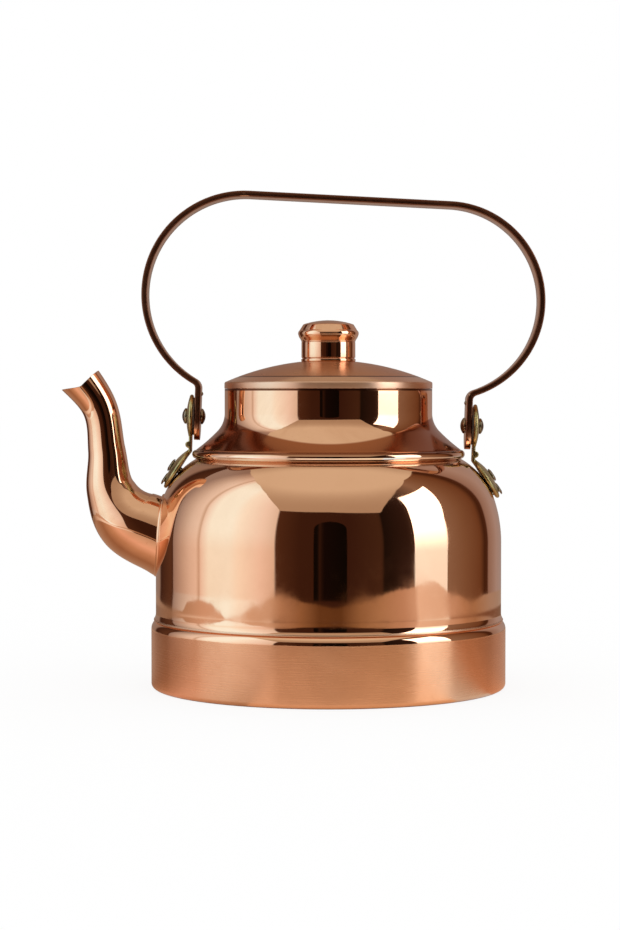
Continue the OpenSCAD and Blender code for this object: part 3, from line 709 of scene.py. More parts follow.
def polished_copper(name, finish, browned=0.35, waves=26.0, depth=0.000016, tints=()):
    """Mirror-polished copper with a faint hand-worked wave, light tarnish and zones tinted between
    two heights (painted shade and painted highlights on the collar and the bead, darker, duller
    tints on the body), each given as its low and high ends, its climb, its softness, its colour and
    its dullness."""
    material, tree, shader = metal(name)
    cover = group_in(tree, "Tarnish", Clean=rgba(finish.copper), Browned=rgba(finish.tarnish),
                     Cloud_Scale=24.0, Amount=browned)
    face = group_in(tree, "Hand Polish", Wave_Scale=waves, Dull_From=0.025, Dull_To=0.075)
    colour = cover.outputs["Color"]
    rough = sums(tree, "ADD", face.outputs["Roughness"],
                 sums(tree, "MULTIPLY", cover.outputs["Mask"], 0.05))
    for low, high, climb, soft, tint, dulled in tints:
        mask = group_in(tree, "Tint and Painted Light Band", Low=low, High=high, Climb=climb, Soft=soft).outputs[0]
        colour = blended(tree, mask, colour, rgba(tint))
        rough = sums(tree, "ADD", rough, sums(tree, "MULTIPLY", mask, dulled))
    tree.links.new(colour, shader.inputs["Base Color"])
    tree.links.new(rough, shader.inputs["Roughness"])
    bump(tree, shader, face.outputs["Height"], depth)
    return material


def pan_copper(finish, roll_foot, floor_turn):
    """Satin turned copper on the pan's wall, polished on its rolled lip, and darker brown towards
    its lower corner.
    """
    material, tree, shader = metal("Satin Pan Copper", anisotropy=0.95)
    marks = group_in(tree, "Turning Marks", Rings=3200.0, Unevenness=0.35)
    cover = group_in(tree, "Tarnish", Clean=rgba(finish.satin), Browned=rgba(finish.tarnish),
                     Cloud_Scale=30.0, Amount=0.45)
    face = group_in(tree, "Hand Polish", Wave_Scale=22.0, Dull_From=0.03, Dull_To=0.07)
    up = height_over_floor(tree)
    ragged = sums(tree, "SUBTRACT", noise(tree, place_on(tree), 40.0, 3.0), 0.5)
    edge = sums(tree, "ADD", up, sums(tree, "MULTIPLY", ragged, 0.0016))
    polished = between(tree, edge, roll_foot - 0.0005, roll_foot + 0.0003)
    low = between(tree, up, floor_turn * 1.1, floor_turn * 0.3)
    copper = blended(tree, polished, cover.outputs["Color"], rgba(finish.copper))
    tree.links.new(blended(tree, low, copper, rgba(finish.tarnish)), shader.inputs["Base Color"])
    satin = sums(tree, "ADD", sums(tree, "MULTIPLY", marks.outputs["Tone"], 0.12), 0.22)
    rough = mixed(tree, polished, satin, face.outputs["Roughness"])
    tree.links.new(rough, shader.inputs["Roughness"])
    left = sums(tree, "SUBTRACT", 1.0, polished)
    height = sums(tree, "ADD", sums(tree, "MULTIPLY", marks.outputs["Height"], left),
                  sums(tree, "MULTIPLY", face.outputs["Height"], polished))
    bump(tree, shader, height, 0.000014)
    brushed_round(tree, shader)
    return material


# Where the lid's finish changes, in metres: how far its polished band reaches in from the rim,
# how far its dull edge does, how wide the painted shade line behind the band is, and how soft they
# all are
LID_BAND, LID_EDGE, LID_SHADE_LINE, LID_SOFT = 0.0062, 0.0009, 0.0009, 0.0004


def lid_copper(finish, rim):
    """Soft spun copper on the lid's dome in a darker, browner copy of the polished copper, as
    painted shade, a polished band behind a dark brown painted shade line, and a dull upright edge."""
    material, tree, shader = metal("Spun Lid Copper", anisotropy=0.7)
    marks = group_in(tree, "Turning Marks", Rings=2600.0, Unevenness=0.5)
    # Painted shade: the dome's colour is the polished copper made darker and browner.
    soft = tuple(c * part for c, part in zip(finish.copper, (0.8, 0.65, 0.54)))
    cover = group_in(tree, "Tarnish", Clean=rgba(soft), Browned=rgba(finish.tarnish),
                     Cloud_Scale=20.0, Amount=0.35)
    radius = off_axis(tree, place_on(tree))
    band_from, edge_from = rim - LID_BAND, rim - LID_EDGE
    shade_line_soft = 0.0005
    shade_line_from = band_from - LID_SHADE_LINE - shade_line_soft
    band = between(tree, radius, band_from, band_from + LID_SOFT)
    edge = between(tree, radius, edge_from, edge_from + LID_SOFT)
    line = sums(tree, "SUBTRACT", between(tree, radius, shade_line_from, shade_line_from + shade_line_soft), band)
    colour = blended(tree, band, cover.outputs["Color"], rgba(finish.copper))
    # Painted shade: a dark brown line just inside the polished band.
    colour = blended(tree, line, colour, (0.2, 0.07, 0.03, 1))
    colour = blended(tree, edge, colour, (0.82, 0.52, 0.36, 1))
    tree.links.new(colour, shader.inputs["Base Color"])
    spun = sums(tree, "ADD", sums(tree, "MULTIPLY", marks.outputs["Tone"], 0.06), 0.25)
    rough = mixed(tree, edge, mixed(tree, band, spun, 0.1), 0.38)
    tree.links.new(rough, shader.inputs["Roughness"])
    bump(tree, shader, marks.outputs["Height"], 0.000008)
    brushed_round(tree, shader)
    return material


def strap_copper(finish, half_width):
    """Browned copper on the strap, darkest along its narrow edges and rubbed on its faces."""
    material, tree, shader = metal("Browned Strap Copper")
    cover = group_in(tree, "Tarnish", Clean=rgba(finish.copper), Browned=rgba(finish.tarnish),
                     Cloud_Scale=60.0, Amount=0.5)
    wear = group_in(tree, "Edge Wear", From=0.53, To=0.6, Break_up=0.1)
    face = group_in(tree, "Hand Polish", Wave_Scale=60.0, Dull_From=0.08, Dull_To=0.22)
    across = sums(tree, "ABSOLUTE", split(tree, place_on(tree))[1])
    edge = between(tree, across, half_width - 0.0009, half_width - 0.0003)
    rubbed = sums(tree, "MULTIPLY", wear.outputs["Rubbed"], 0.5)
    kept = sums(tree, "MULTIPLY", edge, sums(tree, "SUBTRACT", 1.0, rubbed))
    tree.links.new(blended(tree, kept, cover.outputs["Color"], rgba(finish.strap)),
                   shader.inputs["Base Color"])
    rough = sums(tree, "ADD", face.outputs["Roughness"], sums(tree, "MULTIPLY", kept, 0.22))
    tree.links.new(rough, shader.inputs["Roughness"])
    bump(tree, shader, face.outputs["Height"], 0.00006)
    return material


def aged_brass(finish):
    """Cast brass with an olive patina in its hollows, rubbed brighter on its edges."""
    material, tree, shader = metal("Aged Cast Brass")
    wear = group_in(tree, "Edge Wear", From=0.52, To=0.6, Break_up=0.15)
    cover = group_in(tree, "Tarnish", Clean=rgba(finish.brass), Browned=rgba(finish.olive),
                     Cloud_Scale=70.0, Amount=0.75)
    hollow = sums(tree, "MULTIPLY", wear.outputs["Hollow"], 0.3)
    brown = blended(tree, hollow, cover.outputs["Color"], (0.1, 0.08, 0.035, 1))
    rubbed = sums(tree, "MULTIPLY", wear.outputs["Rubbed"], 0.6)
    tree.links.new(blended(tree, rubbed, brown, rgba(finish.brass)), shader.inputs["Base Color"])
    face = group_in(tree, "Hand Polish", Wave_Scale=200.0, Dull_From=0.26, Dull_To=0.4)
    smoother = sums(tree, "MULTIPLY", wear.outputs["Rubbed"], 0.08)
    tree.links.new(sums(tree, "SUBTRACT", face.outputs["Roughness"], smoother),
                   shader.inputs["Roughness"])
    bump(tree, shader, face.outputs["Height"], 0.00005)
    return material


def dark_bronze():
    """Dark bronze rivets, worn bright on their crowns."""
    material, tree, shader = metal("Dark Bronze Rivet")
    wear = group_in(tree, "Edge Wear", From=0.53, To=0.6, Break_up=0.15)
    cover = group_in(tree, "Tarnish", Clean=(0.36, 0.31, 0.22, 1), Browned=(0.12, 0.09, 0.05, 1),
                     Cloud_Scale=150.0, Amount=0.7)
    rubbed = sums(tree, "MULTIPLY", wear.outputs["Rubbed"], 0.7)
    tree.links.new(blended(tree, rubbed, cover.outputs["Color"], (0.62, 0.56, 0.44, 1)),
                   shader.inputs["Base Color"])
    face = group_in(tree, "Hand Polish", Wave_Scale=500.0, Dull_From=0.18, Dull_To=0.36)
    tree.links.new(face.outputs["Roughness"], shader.inputs["Roughness"])
    bump(tree, shader, face.outputs["Height"], 0.00003)
    return material


def waxed_leather():
    """Dark waxed leather with a pebbled grain."""
    material, tree, shader = metal("Dark Waxed Leather", metallic=0.0)
    cells = add(tree, "ShaderNodeTexVoronoi", {"Vector": place_on(tree), "Scale": 1400.0})
    grain = cells.outputs[0]
    cover = group_in(tree, "Tarnish", Clean=(0.12, 0.06, 0.03, 1), Browned=(0.035, 0.02, 0.012, 1),
                     Cloud_Scale=180.0, Amount=1.0)
    tree.links.new(cover.outputs["Color"], shader.inputs["Base Color"])
    tree.links.new(between(tree, grain, 0.0, 0.6, 0.45, 0.7), shader.inputs["Roughness"])
    bump(tree, shader, grain, 0.0001)
    return material


def plain_steel():
    """Turned steel on the knob's stud, washer and nut."""
    material, tree, shader = metal("Turned Steel")
    marks = group_in(tree, "Turning Marks", Rings=1800.0, Unevenness=0.5)
    cover = group_in(tree, "Tarnish", Clean=(0.56, 0.55, 0.53, 1), Browned=(0.3, 0.27, 0.24, 1),
                     Cloud_Scale=120.0, Amount=0.6)
    tree.links.new(cover.outputs["Color"], shader.inputs["Base Color"])
    tree.links.new(sums(tree, "ADD", sums(tree, "MULTIPLY", marks.outputs["Tone"], 0.2), 0.22),
                   shader.inputs["Roughness"])
    bump(tree, shader, marks.outputs["Height"], 0.00002)
    return material


def tin_lining(finish):
    """The wiped tin coat inside the body, with soft brush sweeps."""
    material, tree, shader = metal("Wiped Tin Lining")
    cover = group_in(tree, "Tarnish", Clean=rgba(finish.tin), Browned=(0.38, 0.37, 0.35, 1),
                     Cloud_Scale=45.0, Amount=0.8)
    face = group_in(tree, "Hand Polish", Wave_Scale=70.0, Dull_From=0.28, Dull_To=0.46)
    tree.links.new(cover.outputs["Color"], shader.inputs["Base Color"])
    tree.links.new(face.outputs["Roughness"], shader.inputs["Roughness"])
    bump(tree, shader, face.outputs["Height"], 0.00015)
    return material


def finish_set(scene):
    """How each of the kettle's finishes is made. A tinted zone, be it painted shade, a painted
    highlight or a darker, duller tint, starts or ends on a piece's foot or top, or a short way from
    it."""
    finish = scene.kettle_finishes
    body, bail = scene.kettle_body, scene.kettle_bail
    return {
        "copper": lambda: polished_copper("Polished Copper", finish),
        "body": lambda: polished_copper("Body Copper", finish, browned=0.14, tints=[
            # A darker, duller zone on the body, just under the bead.
            (foot_of("shoulder_bead") - 0.0026, 1.0, 0.0, 0.0008, (0.7, 0.4, 0.25), 0.1),
            # A darker, duller zone on the body's foot, up to just over the pan's lip.
            (0.0, top_of("base_pan") + 0.0011, 0.0, 0.0003, (0.74, 0.46, 0.3), 0.3)]),
        "collar": lambda: polished_copper("Collar Copper", finish, tints=[
            # Painted shade: a darker brown, slightly duller zone on the collar's flare over the
            # seam, rising towards the ears.
            (0.0, foot_of("shoulder_bead") + 0.0086, 4.5, 0.0005, (0.38, 0.12, 0.045), 0.09),
            # Painted shadow: a dark brown line round the top of the neck, under the lid's rim.
            (top_of("neck_collar") - 0.001, 1.0, 0.0, 0.0002, (0.14, 0.045, 0.02), 0.15)]),
        "bead": lambda: polished_copper("Bead Copper", finish, tints=[
            # Painted shade: a dark brown line along the bead's top.
            (top_of("shoulder_bead") - 0.0012, 1.0, 0.0, 0.0004, (0.3, 0.11, 0.05), 0.04),
            # Painted highlight: the bead's lower half is coloured pale peach.
            (0.0, top_of("shoulder_bead") - 0.0024, 0.0, 0.0006, (0.97, 0.84, 0.72), 0.04)]),
        "spout": lambda: polished_copper(
            "Spout Copper", finish, browned=0.5, waves=40.0, depth=0.00006),
        "knob": lambda: polished_copper(
            "Knob Copper", finish, browned=0.65, waves=120.0, depth=0.00002),
        "pan": lambda: pan_copper(finish, body.pan_wall, body.pan_corner),
        "lid": lambda: lid_copper(finish, reach_of("lid_cover")),
        "strap": lambda: strap_copper(finish, bail.width / 2),
        "brass": lambda: aged_brass(finish),
        "bronze": dark_bronze,
        "leather": waxed_leather,
        "steel": plain_steel,
        "tin": lambda: tin_lining(finish),
    }


def finish_named(name):
    """A finish, made the first time that a piece asks for it."""
    store = bpy.context.scene.get("kettle_finish_names") or {}
    if name in store:
        return bpy.data.materials[store[name]]
    material = finish_set(bpy.context.scene)[name]()
    store = dict(store)
    store[name] = material.name
    bpy.context.scene["kettle_finish_names"] = store
    return material


# ---------------------------------------------------------------- the body's outline


class BodyLines:
    """Heights and centres that follow from the body's sizes."""

    flare_r = 0.005  # radius of the small flare at the body's foot
    lip = 0.0006  # height of the foot's edge over the crease
    seam_gap = 0.0002  # from the bead's top to the collar's long curve
    wall_parts = 12  # lengths that the straight wall is drawn in

    def __init__(self, size):
        self.size = size
        turn, roll_turn = size.shoulder_turn, size.roll_turn
        self.pan_r = reach_of("base_pan")
        self.roll_x = self.pan_r - size.roll
        self.crease = size.pan_wall + size.roll * math.sin(roll_turn)
        self.foot_top = self.crease + self.lip
        across = self.flare_r - size.foot_flare
        self.foot_curve = self.foot_top + math.sqrt(self.flare_r ** 2 - across ** 2)
        self.shoulder = self.crease + size.wall_height
        self.long_x = size.wall - size.long_curve
        less = size.long_curve - size.tight_curve
        self.tight_x = self.long_x + less * math.cos(turn)
        self.tight_z = self.shoulder + less * math.sin(turn)
        ends = math.acos((size.seam - self.tight_x) / size.tight_curve)
        self.seam = self.tight_z + size.tight_curve * math.sin(ends) + size.bead
        collar_foot = self.seam + size.bead + self.seam_gap
        meet = size.neck + size.flare_tight * (1 - math.cos(size.flare_turn))
        self.flare_x = meet + size.flare_long * math.cos(size.flare_turn)
        flare_end = math.acos((self.flare_x - size.seam) / size.flare_long)
        self.flare_z = collar_foot + size.flare_long * math.sin(flare_end)
        less = size.flare_long - size.flare_tight
        self.neck_start = self.flare_z - less * math.sin(size.flare_turn)
        self.neck_top = top_of("neck_collar")

    def shell(self, inset):
        """The body's outline from its foot up to the seam, set in by the sheet or not at all."""
        size = self.size
        turn = math.degrees(size.shoulder_turn)
        tight = size.tight_curve - inset
        end = math.degrees(math.acos((size.seam - inset - self.tight_x) / tight))
        wall, rise = size.wall - inset, self.shoulder - self.foot_curve
        return (
            [(wall, self.foot_curve)]
            + [(wall, self.foot_curve + rise * i / self.wall_parts)
               for i in range(1, self.wall_parts)]
            + arc(self.long_x, self.shoulder, size.long_curve - inset, 0, turn, 0.75)
            + arc(self.tight_x, self.tight_z, tight, turn, end, 1.5)[1:]
            + [(size.seam - inset, self.seam)])

    def foot(self):
        """The small flare of the body's foot over the pan's lip."""
        size = self.size
        start = 180 + math.degrees(math.acos(1 - size.foot_flare / self.flare_r))
        out = size.wall + size.foot_flare
        return ([(out, self.crease), (out, self.foot_top)]
                + arc(size.wall + self.flare_r, self.foot_curve, self.flare_r, start, 180, 6)[:-1])

    def collar(self, inset):
        """The collar's outline from the seam up to the neck's rim."""
        size = self.size
        turn = math.degrees(size.flare_turn)
        long, tight = size.flare_long + inset, size.flare_tight + inset
        start = 180 + math.degrees(math.acos((self.flare_x - size.seam + inset) / long))
        return (
            [(size.seam - inset, self.seam)]
            + arc(self.flare_x, self.flare_z, long, start, 180 + turn, 1)
            + arc(size.neck + size.flare_tight, self.neck_start, tight, 180 + turn, 180, 2)[1:]
            + [(size.neck - inset, self.neck_start + (self.neck_top - self.neck_start) * t)
               for t in (0.25, 0.5, 0.75, 1)])

    def radius_at(self, z):
        """Radius of the body's outer face at a height on its wall or shoulder."""
        size = self.size
        if z < self.shoulder:
            return size.wall
        if z < self.shoulder + size.long_curve * math.sin(size.shoulder_turn):
            return self.long_x + math.sqrt(size.long_curve ** 2 - (z - self.shoulder) ** 2)
        return self.tight_x + math.sqrt(max(0.0, size.tight_curve ** 2 - (z - self.tight_z) ** 2))


# How far the edges of the sheet pieces are rounded, and how free the body's spigot sits in the pan
SHEET_EASE, SPIGOT_GAP = 0.0002, 0.0001


class KETTLE_OT_base_pan(Operator):
    """Builds the base pan with its rolled lip"""

    bl_idname = "kettle.base_pan"
    bl_label = "Base Pan"

    def execute(self, context):
        size = context.scene.kettle_body
        lines = BodyLines(size)
        turn = math.degrees(size.roll_turn)
        floor_r = lines.pan_r - size.pan_corner
        floor_ring = 0.03
        outer = arc(floor_r, size.pan_corner, size.pan_corner, -90, 0, 6)
        outer += [(lines.pan_r, size.pan_corner + (size.pan_wall - size.pan_corner) * i / 8)
                  for i in range(1, 8)]
        outer += arc(lines.roll_x, size.pan_wall, size.roll, 0, turn, 3)
        inner = arc(lines.roll_x, size.pan_wall, size.roll - size.sheet, 0, turn, 6)[::-1]
        inner += arc(floor_r, size.pan_corner, size.pan_corner - size.sheet, -90, 0, 15)[::-1]
        outline = [(0, 0), (floor_ring, 0)] + outer
        outline += inner + [(floor_ring, size.sheet), (0, size.sheet)]
        pan = turned("base_pan_turned", eased(outline, SHEET_EASE), BODY_STEPS)
        settle(pan, ["base_pan"], "kettle", "satin_copper", finish_named("pan"))
        return {"FINISHED"}


class KETTLE_OT_body(Operator):
    """Builds the raised body, the neck collar and the bead over their seam"""

    bl_idname = "kettle.body"
    bl_label = "Body and Neck"

    def execute(self, context):
        size = context.scene.kettle_body
        lines = BodyLines(size)
        spigot_r = lines.roll_x + (size.roll - size.sheet) * math.cos(size.roll_turn) - SPIGOT_GAP
        spigot_foot = foot_of("body_shell")
        outline = eased(
            [(spigot_r, spigot_foot), (spigot_r, lines.crease)] + lines.foot() + lines.shell(0)
            + lines.shell(size.sheet)[::-1]
            + [(size.wall - size.sheet, lines.crease), (spigot_r - size.sheet, lines.crease),
               (spigot_r - size.sheet, spigot_foot)], SHEET_EASE)
        shell = turned("body_shell_raised", outline, BODY_STEPS, lined=downward)
        tin = finish_named("tin")
        settle(shell, ["body_shell"], "kettle", "copper", finish_named("body"), tin)

        outline = eased(lines.collar(0) + lines.collar(size.neck_sheet)[::-1], SHEET_EASE)
        collar = turned("neck_collar_spun", outline, NECK_STEPS, lined=downward)
        settle(collar, ["neck_collar"], "kettle", "copper", finish_named("collar"), tin)

        half_round = arc(size.seam, lines.seam, size.bead, -110, 110, 8)
        back = (size.seam - size.bead * 0.3, lines.seam)
        bead = turned("shoulder_bead_drawn", half_round + [back], NECK_STEPS)
        settle(bead, ["shoulder_bead"], "kettle", "copper", finish_named("bead"))
        return {"FINISHED"}


class KETTLE_OT_lid(Operator):
    """Builds the lid's dome with its turned rim"""

    bl_idname = "kettle.lid"
    bl_label = "Lid"

    def execute(self, context):
        size = context.scene.kettle_lid
        foot = foot_of("lid_cover")
        rim_r = reach_of("lid_cover")
        corner_x = rim_r - size.corner
        corner_z = foot + size.edge
        squares = corner_x ** 2 + size.rise ** 2 - size.corner ** 2
        dome_r = squares / (2 * (size.rise - size.corner))
        dome_z = corner_z + size.rise - dome_r
        turn = math.degrees(math.acos(corner_x / (dome_r - size.corner)))
        seat_past_ring, land_width = 0.0006, 0.0014
        seat_r = size.ring + seat_past_ring
        seat_z = top_of("lid_cover")
        under = dome_r - size.sheet
        land = rim_r - land_width
        outer = arc(corner_x, corner_z, size.corner, 0, turn, 8)
        outer += arc(0, dome_z, dome_r, turn, math.degrees(math.acos(seat_r / dome_r)), 0.35)
        inner = arc(0, dome_z, under, math.degrees(math.acos(seat_r / under)),
                    math.degrees(math.acos(land / under)), 0.7)
        outline = eased(
            [(rim_r, foot)] + outer
            + [(0, seat_z), (0, seat_z - size.sheet), (seat_r - size.sheet, seat_z - size.sheet)]
            + inner + [(land, foot)], 0.00025)
        cover = turned("lid_cover_spun", outline, NECK_STEPS)
        settle(cover, ["lid_cover"], "lid", "lid_copper", finish_named("lid"))
        dress("lid_skirt", finish_named("copper"))
        return {"FINISHED"}


class KETTLE_OT_knob(Operator):
    """Builds the turned knob: its ring, its barrel and its domed cap"""

    bl_idname = "kettle.knob"
    bl_label = "Knob"

    def execute(self, context):
        size = context.scene.kettle_lid
        seat = foot_of("knob_ferrule")
        ring_top = seat + size.ring_height
        barrel_foot = foot_of("knob_barrel")
        barrel_top = top_of("knob_barrel")
        groove_in = size.ring - 0.0005
        ring = turned("knob_ring_turned", eased([
            (0, seat), (size.ring, seat), (size.ring, ring_top), (groove_in, ring_top),
            (groove_in, barrel_foot), (0, barrel_foot)], 0.0005), KNOB_STEPS)
        settle(ring, ["knob_ferrule"], "lid", "copper", finish_named("knob"))
        bore_r = size.barrel - 0.0014
        part = 0.0027
        barrel = turned("knob_barrel_turned", eased([
            (bore_r, barrel_foot), (size.barrel, barrel_foot),
            (size.barrel, barrel_foot + part), (size.barrel, barrel_foot + 2 * part),
            (size.barrel, barrel_top), (bore_r, barrel_top)], 0.0003), KNOB_STEPS)
        settle(barrel, ["knob_barrel"], "lid", "copper", finish_named("knob"))
        settle(self.cap(size, barrel_top), ["knob_cap"], "lid", "copper", finish_named("knob"))
        for node in ("knob_stud", "knob_washer", "knob_nut"):
            dress(node, finish_named("steel"))
        return {"FINISHED"}

    def cap(self, size, barrel_top):
        """The cap: a spigot in the barrel, a cove, a round rim and a low crown."""
        foot, top = foot_of("knob_cap"), top_of("knob_cap")
        rim_r, spigot_gap = 0.0022, 0.0015
        edge, rise = size.cap * 0.83, size.crown * 0.31
        crown_r = (edge ** 2 + rise ** 2) / (2 * rise)
        step_out = size.cap - size.barrel
        spigot_r = size.barrel - spigot_gap
        cove = [(size.barrel + step_out * out, barrel_top + size.cove * up)
                for out, up in ((0, 0.1), (0.12, 0.2), (0.28, 0.32), (0.5, 0.45), (0.72, 0.6))]
        outline = [(0, foot), (spigot_r, foot), (spigot_r, barrel_top), (size.barrel, barrel_top)]
        outline += cove + arc(size.cap - rim_r, barrel_top + size.cove, rim_r, -20, 50, 5)
        outline += arc(0, top - crown_r, crown_r, math.degrees(math.acos(edge / crown_r)), 90, 1.5)
        return turned("knob_cap_turned", eased(outline, 0.0005, 12), KNOB_STEPS)


# ---------------------------------------------------------------- spout


class SpoutLines:
    """The spout's run of stations: out from the body's wall, up from its root, and radius. A place
    along it is a number of stations, and a place round it is an angle from its upper side."""

    tangent_step = 0.02  # how far before and after a place its direction is taken

    def __init__(self, size, body):
        self.size, self.body = size, body
        self.root_z = body.crease + size.root_up
        root, throat, mouth = size.root, size.throat, size.mouth
        self.stations = [
            (-0.0055, 0.0, root),
            (0.0135, 0.0095, root - 0.002),
            (0.023, 0.025, (root + throat) / 2 - 0.00175),
            (0.025, 0.045, throat + 0.0005),
            (0.029, 0.0675, throat),
            (0.0455, 0.0895, mouth)]
        self.mouth_edge = [(0.028, 0.0864), (0.0372, 0.0772), (0.040, 0.0766), (0.049, 0.0754)]

    def station(self, i):
        """A station, or one that goes straight on past either end."""
        last = len(self.stations) - 1
        if i < 0:
            return [2 * a - b for a, b in zip(self.stations[0], self.stations[1])]
        if i > last:
            return [2 * a - b for a, b in zip(self.stations[last], self.stations[last - 1])]
        return self.stations[i]

    def at(self, s):
        """A place between stations, on a smooth curve through them."""
        i = min(math.floor(s), len(self.stations) - 2)
        t = s - i
        around = [self.station(i + k) for k in (-1, 0, 1, 2)]
        return [0.5 * (2 * b + (c - a) * t + (2 * a - 5 * b + 4 * c - d) * t * t
                       + (3 * b - a - 3 * c + d) * t ** 3) for a, b, c, d in zip(*around)]

    def point(self, s, a, thin):
        """A point of the skin, set in by thin."""
        p = self.at(s)
        step = self.tangent_step
        before, after = self.at(s - step), self.at(min(len(self.stations) - 1, s + step))
        lean = math.atan2(after[1] - before[1], after[0] - before[0])
        r = p[2] - thin
        return Vector((
            -(self.body.size.wall + p[0] - r * math.cos(a) * math.sin(lean)),
            r * math.sin(a),
            self.root_z + p[1] + r * math.cos(a) * math.cos(lean)))

    def past_body(self, s, a, thin):
        """Whether the skin has left the body's wall."""
        p = self.point(s, a, thin)
        return math.hypot(p.x, p.y) > self.body.radius_at(p.z)

    def past_mouth(self, s, a, thin):
        """Whether the skin has gone over the mouth's edge."""
        p = self.point(s, a, thin)
        out, up = -p.x - self.body.size.wall, p.z - self.root_z
        edge = self.mouth_edge
        if out <= edge[0][0]:
            return up > edge[0][1]
        for (x0, y0), (x1, y1) in zip(edge, edge[1:]):
            if out <= x1:
                return up > y0 + (y1 - y0) * (out - x0) / (x1 - x0)
        return up > edge[-1][1]

    def found(self, past, a, thin, low, high):
        """The place between low and high where past first holds, by halving."""
        for _ in range(18):
            mid = (low + high) / 2
            if past(mid, a, thin):
                high = mid
            else:
                low = mid
        return (low + high) / 2

    def rows(self, thin):
        """Rows of points along the skin, from the body to the mouth's edge."""
        size = self.size
        turns = [2 * math.pi * k / size.sides for k in range(size.sides)]
        ends = [(a, self.found(self.past_body, a, thin, -0.9, 2),
                 self.found(self.past_mouth, a, thin, 3.5, 5)) for a in turns]
        return [[self.point(s + (e - s) * j / size.rings, a, thin) for a, s, e in ends]
                for j in range(size.rings + 1)]


class KETTLE_OT_spout(Operator):
    """Builds the swan-neck spout and the seam ring round its root"""

    bl_idname = "kettle.spout"
    bl_label = "Spout"

    def execute(self, context):
        size = context.scene.kettle_spout
        body = BodyLines(context.scene.kettle_body)
        lines = SpoutLines(size, body)
        outer, inner = lines.rows(0), lines.rows(size.sheet)
        lip = [[(a + b) / 2 + (a - before) * 0.15
                for a, b, before in zip(outer[-1], inner[-1], outer[-2])]]
        rows = outer + lip + inner[::-1]
        count = len(outer)
        spout = netted("spout_drawn", rows, inner=range(count + 1, len(rows)))
        settle(spout, ["spout"], "kettle", "copper", finish_named("spout"), finish_named("tin"))

        ring = netted("spout_seam_ring_soldered", self.seam_ring(size, body))
        settle(ring, ["spout_seam_ring"], "kettle", "copper", finish_named("copper"))
        return {"FINISHED"}

    def seam_ring(self, size, body):
        """Rows of points round the seam ring, each a low half-round on the body's wall."""
        low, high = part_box("spout_seam_ring")
        mid_z = (low.z + high.z) / 2
        ring_r = (high.z - low.z) / 2
        gap, proud, sunk = 0.0001, 0.0014, 0.0004
        width = ring_r - size.root - gap
        around, across = 144, 11
        rows = []
        for k in range(around):
            a = 2 * math.pi * k / around
            row = []
            for i in range(across + 1):
                t = math.pi * i / across
                r = ring_r - width / 2 + width / 2 * math.cos(t)
                y, z = r * math.sin(a), mid_z + r * math.cos(a)
                face = math.sqrt(body.radius_at(z) ** 2 - y * y)
                row.append(Vector((-(face - sunk + proud * math.sin(t)), y, z)))
            rows.append(row)
        return rows


# ---------------------------------------------------------------- bail, ears and rivets


def hinge_place(side=RIGHT):
    """The hinge's own frame: X out along the hinge line on that side, Z up the bail."""
    middle, along = hinge()
    if along.x < 0:
        along = -along
    up = Vector((-along.z, 0, along.x))
    x = along * side
    return Matrix.Translation(middle) @ Matrix((x, up.cross(x), up)).transposed().to_4x4()


def strap_path(size):
    """The strap's middle line in the hinge's frame, from the left foot to the right foot."""
    leg_mid = size.leg_out - size.strap / 2
    end_r = size.width / 2
    apart = 2 * size.loop_flat
    lean = math.degrees(math.asin(size.loop_less / apart) - math.atan2(size.loop_raise, apart))

    def half(side):
        """The path up one leg and round its end of the loop."""
        mid_r = size.loop - size.strap / 2 - (size.loop_less if side == RIGHT else 0)
        end_x = size.loop_flat + side * size.loop_shift
        end_z = size.loop_up + (size.loop_raise if side == RIGHT else 0)
        bend_x = leg_mid + size.bend
        bend_z = end_z - math.sqrt((mid_r + size.bend) ** 2 - (bend_x - end_x) ** 2)
        turn = math.degrees(math.atan2(bend_z - end_z, bend_x - end_x))
        foot = -size.leg_drop
        tip = 0.00001
        ends = [foot + end_r * (1 - math.cos(math.radians(t)))
                for t in (4, 10, 18, 28, 40, 54, 70, 90)]
        straight = [(leg_mid, z) for z in [foot + tip] + ends]
        top = ends[-1]
        straight += [(leg_mid, top + (bend_z - top) * i / 8) for i in range(1, 8)]
        path = (straight + arc(bend_x, bend_z, size.bend, 180, 180 + turn, 3)
                + arc(end_x, end_z, mid_r, turn, 90 - side * lean, 1.5)[1:])
        return [(side * x, z) for x, z in path]

    left, right = half(LEFT), half(RIGHT)
    start, end = Vector(left[-1]), Vector(right[-1])
    return left + [tuple(start.lerp(end, i / 20)) for i in range(1, 20)] + right[::-1]


class KETTLE_OT_bail(Operator):
    """Builds the strap bail: its loop, its bends and its rounded leg ends"""

    bl_idname = "kettle.bail"
    bl_label = "Bail"

    def execute(self, context):
        size = context.scene.kettle_bail
        place = hinge_place()
        path = strap_path(size)
        foot, end_r = -size.leg_drop, size.width / 2
        ease, skin = 0.0006, 0.00003
        thick = size.strap / 2 - skin
        rows = []
        for i, (x, z) in enumerate(path):
            before, after = path[max(0, i - 1)], path[min(len(path) - 1, i + 1)]
            way = Vector((after[0] - before[0], 0, after[1] - before[1])).normalized()
            out = Vector((-way.z, 0, way.x))
            below = foot + end_r - z
            half = math.sqrt(max(1e-10, end_r ** 2 - below ** 2)) if below > 0 else end_r
            section = rounded_section(half, -thick, thick, min(ease, half * 0.6))
            rows.append([place @ (Vector((x, y, z)) + out * o) for y, o in section])
        strap = netted("bail_strap_bent", rows, open_ends=True)
        settle(strap, ["bail_strap"], "bail", "strap_copper", finish_named("strap"))
        for node in ("bail_stud_left", "bail_stud_right"):
            dress(node, finish_named("bronze"))
        return {"FINISHED"}


def on_x(place):
    """The same place, for a piece turned round Z that is to lie along X."""
    return place @ Matrix.Rotation(math.radians(90), 4, "Y")


